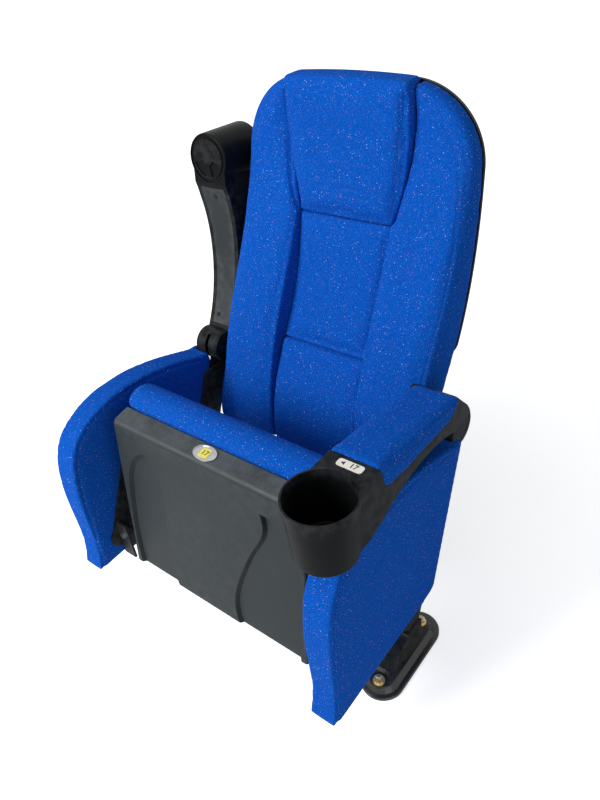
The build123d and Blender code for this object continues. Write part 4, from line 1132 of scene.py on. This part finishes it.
@dataclass
class Standard:
    """Foot, column, plates and stops of one side."""

    side: Side

    def dress(self) -> None:
        """Gives every hard piece its finish."""
        finishes = {
            "foot": Palette.CASTING,
            "column": Palette.STEEL,
            "arm_neck": Palette.STEEL,
            "arm_pin": Palette.BRIGHT,
            "side_plate": Palette.STEEL,
            "seat_axle": Palette.BRIGHT,
            "stop_bracket": Palette.STEEL,
            "return_spring": Palette.SPRING,
            "panel_board": Palette.PLYWOOD,
            "back_bracket": Palette.STEEL,
            "seat_ear": Palette.STEEL,
            "seat_bush": Palette.NYLON,
        }
        dress(finishes, self.side)


@dataclass
class SidePanel:
    """The upholstered panel of one side."""

    side: Side
    inner_x: float = 0.282
    outer_x: float = 0.339
    seam_inset: float = 0.010
    face_hold: float = 0.75
    rise: tuple[tuple[float, float], ...] = (
        (-0.247, 0.122), (-0.240, 0.207), (-0.231, 0.320), (-0.222, 0.385), (-0.200, 0.436),
        (-0.172, 0.462), (-0.134, 0.478), (-0.035, 0.489), (0.090, 0.465), (0.157, 0.440),
    )

    def seam_line(self, x: float) -> tuple[Point, ...]:
        """The panel's front and top outline, moved in by the seam's inset.

        Args:
            x: Which face it lies on.

        Returns:
            Points from the front's foot to the rear.
        """
        line = []
        for index, (y, z) in enumerate(self.rise):
            before = self.rise[max(index - 1, 0)]
            after = self.rise[min(index + 1, len(self.rise) - 1)]
            along = Vector((after[0] - before[0], after[1] - before[1])).normalized()
            line.append((x, y + along.y * self.seam_inset, z - along.x * self.seam_inset))
        return tuple(line)

    def hold(self, places: np.ndarray, out: np.ndarray) -> np.ndarray:
        """The board keeps the two faces flat; only the band swells freely."""
        flat = np.clip(np.abs(out[:, 0]) - 0.6, 0.0, 0.4) / 0.4
        return 1.0 - self.face_hold * flat

    def soft(self) -> list[SoftPiece]:
        """The panel's padding.

        Returns:
            One soft piece.
        """
        faces = (self.side.sign * self.inner_x, self.side.sign * self.outer_x)
        seams = tuple(Seam(self.seam_line(x), depth=0.0026, offset=0.003) for x in faces)
        return [SoftPiece(
            self.side.of("side_panel"), self.side.of("panel_padding"), Body.FRAME,
            rounding=9, swell=0.0035, inset=0.001, fill=0.85, hold=self.hold, seams=seams,
        )]


@dataclass
class Seat:
    """Pan, cushion and badge of the seat."""

    pan_hold: float = 0.25
    number_height: float = 0.011

    def dress(self) -> None:
        """Gives every hard piece its finish."""
        finishes = {
            "seat_pan": Palette.PAN,
            "seat_board": Palette.PLYWOOD,
            "seat_badge": Palette.CHROME,
            "seat_badge_insert": Palette.YELLOW,
            "stop_lugs": Palette.STEEL,
        }
        dress(finishes)

    def hold(self, places: np.ndarray, out: np.ndarray) -> np.ndarray:
        """The cushion stays flat in the pan, and at its rear end, which comes near the back."""
        return np.where((out[:, 1] < -0.3) | (out[:, 2] < -0.3), self.pan_hold, 1.0)

    def soft(self) -> list[SoftPiece]:
        """The seat cushion."""
        return [SoftPiece(
            "seat_cushion_cover", "seat_cushion", Body.SEAT,
            rounding=12, swell=0.007, hold=self.hold, fill=0.8,
        )]

    def number(self) -> None:
        """Prints the number on the badge's insert."""
        PrintedNumber(
            "badge_number", "17", self.number_height, "seat_badge_insert", 0.0, Body.SEAT
        ).build()


@dataclass
class Arm:
    """One arm with its cup holder, pad and hinge drum."""

    side: Side
    raise_angle: float = 96.6
    seat_hold: float = 0.15
    number_height: float = 0.010
    number_shift: float = 0.006
    pointer_height: float = 0.0075
    pointer_shift: float = -0.0125

    def dress(self) -> None:
        """Gives every hard piece its finish."""
        finishes = {
            "arm_moulding": Palette.ARM,
            "arm_cover": Palette.COVER,
            "arm_screws": Palette.STEEL,
            "arm_caps": Palette.ARM,
            "arm_bushes": Palette.NYLON,
        }
        dress(finishes, self.side)
        if self.side is Side.RIGHT:
            dress({"arm_number_plate": Palette.CREAM})

    def lowered(self, out: np.ndarray) -> np.ndarray:
        """Directions on this arm as they are when it is down; at rest only the right one is.

        Args:
            out: Directions at rest, one row each.

        Returns:
            The turned directions.
        """
        if self.side is Side.RIGHT:
            return out
        angle = math.radians(self.raise_angle)
        cosine, sine = math.cos(angle), math.sin(angle)
        y, z = out[:, 1], out[:, 2]
        return np.column_stack([out[:, 0], y * cosine - z * sine, y * sine + z * cosine])

    def hold(self, places: np.ndarray, out: np.ndarray) -> np.ndarray:
        """The pad stays flat where it lies on the moulding."""
        return np.where(self.lowered(out)[:, 2] < -0.3, self.seat_hold, 1.0)

    def soft(self) -> list[SoftPiece]:
        """The arm's upholstered pad."""
        body = Body.ARM_RIGHT if self.side is Side.RIGHT else Body.ARM_LEFT
        return [SoftPiece(
            self.side.of("arm_pad_cover"), self.side.of("arm_pad"), body,
            voxel=0.0033, rounding=5, inset=0.0004, swell=0.003, hold=self.hold, fill=0.8,
        )]

    def number(self) -> None:
        """Prints the number and the pointer on the plate behind the right cup."""
        plate, body = "arm_number_plate", Body.ARM_RIGHT
        PrintedNumber(
            "plate_number", "17", self.number_height, plate, self.number_shift, body
        ).build()
        PrintedPointer(
            "plate_pointer", "", self.pointer_height, plate, self.pointer_shift, body
        ).build()


@dataclass
class Backrest:
    """Sewn sections, board and shell of the back."""

    gusset: tuple[Point, ...] = (
        (0.245, 0.180, 0.440), (0.245, 0.206, 0.500), (0.245, 0.239, 0.562),
        (0.245, 0.284, 0.633), (0.245, 0.319, 0.711), (0.243, 0.340, 0.795),
        (0.232, 0.341, 0.873), (0.204, 0.345, 0.925), (0.165, 0.352, 0.956),
    )
    head_edge: tuple[Point, ...] = (
        (0.113, 0.343, 0.752), (0.123, 0.344, 0.800), (0.129, 0.345, 0.840),
        (0.133, 0.346, 0.880), (0.133, 0.350, 0.930), (0.130, 0.360, 0.966),
    )
    head_seam_inset: float = 0.010
    foot_out: float = 0.014
    foot_forward: float = 0.018
    foot_front: float = 0.004  # how far all of the foot comes forward
    foot_down: float = 0.009
    foot_top: float = 0.43
    foot_height: float = 0.14
    rim_x: float = 0.222
    rim_width: float = 0.026
    seat_rear_z: float = 0.40  # top of the lowered seat's rear
    seat_rear_fade: float = 0.08
    seat_rear_hold: float = 0.35

    def dress(self) -> None:
        """Gives every hard piece its finish."""
        dress({"back_board": Palette.PLYWOOD, "back_shell": Palette.SHELL})

    def hold(self, places: np.ndarray, out: np.ndarray) -> np.ndarray:
        """The padding stays flat on the board and the shell's rim, and behind the lowered seat.

        Args:
            places: Places on the cover, one row each.
            out: The normals there.

        Returns:
            Share of the swell at each place.
        """
        above = np.clip((places[:, 2] - self.seat_rear_z) / self.seat_rear_fade, 0.0, 1.0)
        clear = self.seat_rear_hold + (1.0 - self.seat_rear_hold) * above
        return clear * np.clip(0.75 - out[:, 1], 0.0, 1.0)

    def foot(self, places: np.ndarray, out: np.ndarray) -> np.ndarray:
        """Lowers the padding's foot a little, and brings its outer rims forward beside the seat.

        Args:
            places: Places on the cover, one row each.
            out: The normals there.

        Returns:
            The moved places.
        """
        low = np.clip((self.foot_top - places[:, 2]) / self.foot_height, 0.0, 1.0)
        low = low * low * (3.0 - 2.0 * low)
        front = np.clip(0.4 - out[:, 1], 0.0, 1.0)
        rim = np.clip((np.abs(places[:, 0]) - self.rim_x) / self.rim_width, 0.0, 1.0)
        aside = rim * np.sign(places[:, 0]) * self.foot_out
        forward = -front * (self.foot_front + rim * self.foot_forward)
        down = np.full(len(low), -self.foot_down)
        return places + low[:, None] * np.column_stack([aside, forward, down])

    def head_line(self, side: Side, inset: float = 0.0) -> tuple[Point, ...]:
        """Where head panel and bolster meet, from the foot up, or a line that far inside it."""
        return tuple((side.sign * (x - inset), y, z) for x, y, z in self.head_edge)

    def bolster(self, side: Side) -> SoftPiece:
        """The bolster of one side, with its gusset seam and the valley beside the head panel.

        Args:
            side: Which side.

        Returns:
            The soft piece.
        """
        gusset = tuple((side.sign * x, y, z) for x, y, z in self.gusset)
        seams = (
            Seam(gusset, depth=0.0014, width=0.003, offset=0.002),
            Seam(self.head_line(side), depth=0.0045, width=0.006, thread=0.0),
        )
        return SoftPiece(
            side.of("bolster"), side.of("back_bolster"), Body.FRAME,
            rounding=10, hug=0.6, swell=0.007, hold=self.hold, shape=self.foot, seams=seams,
        )

    def head(self) -> SoftPiece:
        """The head panel, sewn beside both of its edges.

        Returns:
            The soft piece.
        """
        sewn = [
            Seam(self.head_line(side, self.head_seam_inset), depth=0.0016, width=0.003)
            for side in Side
        ]
        valleys = [
            Seam(self.head_line(side), depth=0.0035, width=0.005, thread=0.0) for side in Side
        ]
        return SoftPiece(
            "head_panel_cover", "head_panel", Body.FRAME,
            rounding=14, hug=0.6, swell=0.010, hold=self.hold, seams=(*sewn, *valleys),
        )

    def soft(self) -> list[SoftPiece]:
        """The sewn sections of the padding.

        Returns:
            A soft piece for each section.
        """
        flat = [
            SoftPiece(
                f"{node}_cover", node, Body.FRAME, swell=0.007, hold=self.hold, shape=self.foot
            )
            for node in ("back_panel_middle", "back_panel_lower")
        ]
        return [*(self.bolster(side) for side in Side), self.head(), *flat]


@dataclass
class Fasteners:
    """Nuts, washers, buffers and bolts that several places share, and the floor studs' ends."""

    spread_x: float = 0.314
    spread_y: float = 0.080
    radius: float = 0.0049
    foot_z: float = 0.010
    top_z: float = 0.0310
    point: float = 0.0012
    point_share: float = 0.78

    def dress(self) -> None:
        """Gives every piece of the frame its finish."""
        finishes = {
            "floor_washers": Palette.ZINC,
            "floor_nuts": Palette.ZINC,
            "stop_buffers": Palette.RUBBER,
            "down_stop_shelves": Palette.STEEL,
            "stop_bolts": Palette.BRIGHT,
        }
        dress(finishes)

    def studs(self) -> Piece:
        """Turns the ends of the four studs that stand out of the floor nuts.

        Returns:
            One piece with the four studs.
        """
        neck_z = self.top_z - self.point
        work = bmesh.new()
        for x in (-self.spread_x, self.spread_x):
            for y in (-self.spread_y, self.spread_y):
                for low, high, end in (
                    (self.foot_z, neck_z, 1.0), (neck_z, self.top_z, self.point_share)
                ):
                    bmesh.ops.create_cone(
                        work, cap_ends=True, segments=28, radius1=self.radius,
                        radius2=self.radius * end, depth=high - low,
                        matrix=Matrix.Translation((x, y, (low + high) / 2)),
                    )
        mesh = finished(work, "floor_stud_ends")
        piece = show_mesh("floor_stud_ends", mesh, Palette.STUD)
        mesh.shade_flat()
        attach(piece, Body.FRAME.value)
        return piece


# ---- print --------------------------------------------------------------------------------


def broad_face(node: str) -> tuple[Vector, Vector]:
    """Where a plate's printed face lies.

    Args:
        node: The plate's CAD node.

    Returns:
        Centre and outward normal of its upper face.
    """
    weight, centre, out = 0.0, Vector(), Vector()
    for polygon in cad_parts[node].data.polygons:
        if polygon.normal.z > 0.85:
            weight += polygon.area
            centre += polygon.center * polygon.area
            out += polygon.normal * polygon.area
    return centre / weight, out.normalized()


@dataclass
class PrintedNumber:
    """A plain number on a plate, as thin ink."""

    name: str
    text: str
    height: float
    node: str
    shift: float  # to the right of the plate's middle
    body: Body
    bold: float = 0.0002
    size_share: float = 1.35  # letter size for a digit of height 1

    def build(self) -> Piece:
        """Makes the ink and lays it on the plate.

        Returns:
            Its piece.
        """
        mesh = self.ink()
        origin, out = broad_face(self.node)
        right = Vector((1.0, 0.0, 0.0))
        up = out.cross(right).normalized()
        turn = Matrix((right, up, out)).transposed().to_4x4()
        mesh.transform(Matrix.Translation(origin + right * self.shift + out * INK_LIFT) @ turn)
        piece = show_mesh(self.name, mesh, Palette.INK)
        mesh.shade_flat()
        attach(piece, self.body.value)
        return piece

    def ink(self) -> Mesh:
        """The digits, flat on the ground plane.

        Returns:
            Their mesh.
        """
        curve = bpy.data.curves.new(self.name, "FONT")
        curve.body = self.text
        curve.size = self.height * self.size_share
        curve.align_x = "CENTER"
        curve.align_y = "CENTER"
        curve.extrude = INK_THICKNESS
        curve.offset = self.bold
        letters = show(self.name, curve)
        mesh = evaluated(letters)
        bpy.data.objects.remove(letters)
        return mesh


@dataclass
class PrintedPointer(PrintedNumber):
    """A small triangle that points to the left."""

    point_share: float = 0.8

    def ink(self) -> Mesh:
        """The triangle, flat on the ground plane.

        Returns:
            Its mesh.
        """
        mesh = bpy.data.meshes.new(self.name)
        half = self.height / 2
        base = half * self.point_share
        corners = ((-half, 0.0), (base, -half), (base, half))
        places = [(x, y, z) for z in (-INK_THICKNESS, INK_THICKNESS) for x, y in corners]
        faces = [(2, 1, 0), (3, 4, 5), (0, 1, 4, 3), (1, 2, 5, 4), (2, 0, 3, 5)]
        mesh.from_pydata(places, [], faces)
        return mesh


# ---- studio -------------------------------------------------------------------------------


@dataclass(frozen=True)
class Lamp:
    """A soft square lamp."""

    name: str
    place: Point
    aim: Point
    size: float
    power: float

    def build(self) -> None:
        """Hangs the lamp."""
        data = bpy.data.lights.new(self.name, "AREA")
        data.shape = "SQUARE"
        data.size = self.size
        data.energy = self.power
        lamp = show(self.name, data)
        lamp.location = self.place
        aim = Vector(self.aim) - Vector(self.place)
        lamp.rotation_euler = aim.to_track_quat("-Z", "Y").to_euler()


@dataclass
class Studio:
    """Camera, lights and floor."""

    camera_place: Point = (0.76293, -0.69355, 1.26624)
    right: Point = (0.78773, 0.60663, -0.10716)
    up: Point = (-0.29614, 0.52545, 0.79762)
    forward: Point = (-0.54017, 0.59657, -0.59356)
    lens: float = 31.44
    lamps: tuple[Lamp, ...] = (
        Lamp("key", (-1.4, -2.7, 2.3), (0.0, 0.0, 0.5), 1.5, 112.0),
        Lamp("fill", (2.6, -1.2, 1.2), (0.0, 0.1, 0.5), 1.8, 9.0),
        Lamp("top", (-0.4, -0.2, 3.0), (0.0, 0.1, 0.6), 1.5, 11.0),
    )
    surround_colour: Colour = (0.9, 0.93, 0.97)
    surround_strength: float = 0.33
    floor_colour: Colour = (0.93, 0.93, 0.93)
    floor_half: float = 20.0
    glow_reach: tuple[float, float] = (0.7, 2.4)
    glow: tuple[float, float] = (0.6, 0.9)

    def build(self) -> None:
        """Makes the camera, the lights and the floor."""
        self._camera()
        for lamp in self.lamps:
            lamp.build()
        self._surround()
        self._floor()

    def _camera(self) -> None:
        """Puts the camera at the photograph's place."""
        data = bpy.data.cameras.new("camera")
        data.lens = self.lens
        data.clip_start = 0.02
        data.clip_end = 100.0
        camera = show("camera", data)
        back = -Vector(self.forward)
        turn = Matrix((Vector(self.right), Vector(self.up), back)).transposed().to_4x4()
        camera.matrix_world = Matrix.Translation(Vector(self.camera_place)) @ turn
        bpy.context.scene.camera = camera

    def _surround(self) -> None:
        """Makes an even surround that lights the seat softly and is seen as plain white."""
        world = bpy.data.worlds.new("surround")
        sheet = NodeSheet.blank(world)
        soft = sheet.add("Background", Color=self.surround_colour, Strength=self.surround_strength)
        plain = sheet.add("Background", Color=(1.0, 1.0, 1.0), Strength=1.0)
        rays = sheet.add("LightPath").outputs
        seen = sheet.maths("MAXIMUM", rays["Is Camera Ray"], rays["Is Transmission Ray"])
        seen = sheet.maths("MAXIMUM", seen, rays["Is Glossy Ray"])
        blend = sheet.add("MixShader", Fac=seen)
        sheet.feed(blend.inputs[1], soft.outputs[0])
        sheet.feed(blend.inputs[2], plain.outputs[0])
        sheet.add("OutputWorld", Surface=blend.outputs[0])
        bpy.context.scene.world = world

    def _floor(self) -> None:
        """Makes a wide pale floor that keeps the shadow and turns white farther out."""
        half = self.floor_half
        mesh = bpy.data.meshes.new("floor")
        corners = [(-half, -half, 0), (half, -half, 0), (half, half, 0), (-half, half, 0)]
        mesh.from_pydata(corners, [], [(0, 1, 2, 3)])
        material = bpy.data.materials.new("floor")
        sheet = NodeSheet.blank(material)
        surface = sheet.add(
            "BsdfPrincipled", Base_Color=self.floor_colour, Roughness=0.9, Specular_IOR_Level=0.1
        )
        reach = sheet.add("VectorMath", {"operation": "LENGTH"})
        sheet.feed(reach.inputs[0], sheet.add("TexCoord").outputs["Object"])
        strength = sheet.remap(reach.outputs["Value"], *self.glow_reach, *self.glow)
        glow = sheet.add("Emission", Color=(1.0, 1.0, 1.0), Strength=strength)
        both = sheet.add("AddShader")
        sheet.feed(both.inputs[0], surface.outputs[0])
        sheet.feed(both.inputs[1], glow.outputs[0])
        seen = sheet.add("MixShader", Fac=sheet.add("LightPath").outputs["Is Camera Ray"])
        sheet.feed(seen.inputs[1], surface.outputs[0])
        sheet.feed(seen.inputs[2], both.outputs[0])
        sheet.add("OutputMaterial", Surface=seen.outputs[0])
        mesh.materials.append(material)
        show("floor", mesh)


def main() -> None:
    """Builds the seat from the floor up."""
    logging.basicConfig(level=logging.INFO, format="%(name)s: %(message)s")
    bpy.context.scene.view_settings.view_transform = "Standard"
    Studio().build()
    seat, back, fasteners = Seat(), Backrest(), Fasteners()
    soft = [*seat.soft(), *back.soft()]
    for assembly in (seat, back, fasteners):
        assembly.dress()
        LOG.info("dressed %s", type(assembly).__name__)
    arms = {side: Arm(side) for side in Side}
    for side, arm in arms.items():
        Standard(side).dress()
        arm.dress()
        soft += SidePanel(side).soft() + arm.soft()
        LOG.info("dressed the %s side", side.value)
    blow_up(soft)
    seat.number()
    arms[Side.RIGHT].number()
    LOG.info("studs: %s", fasteners.studs().name)


if __name__ == "__main__":
    main()
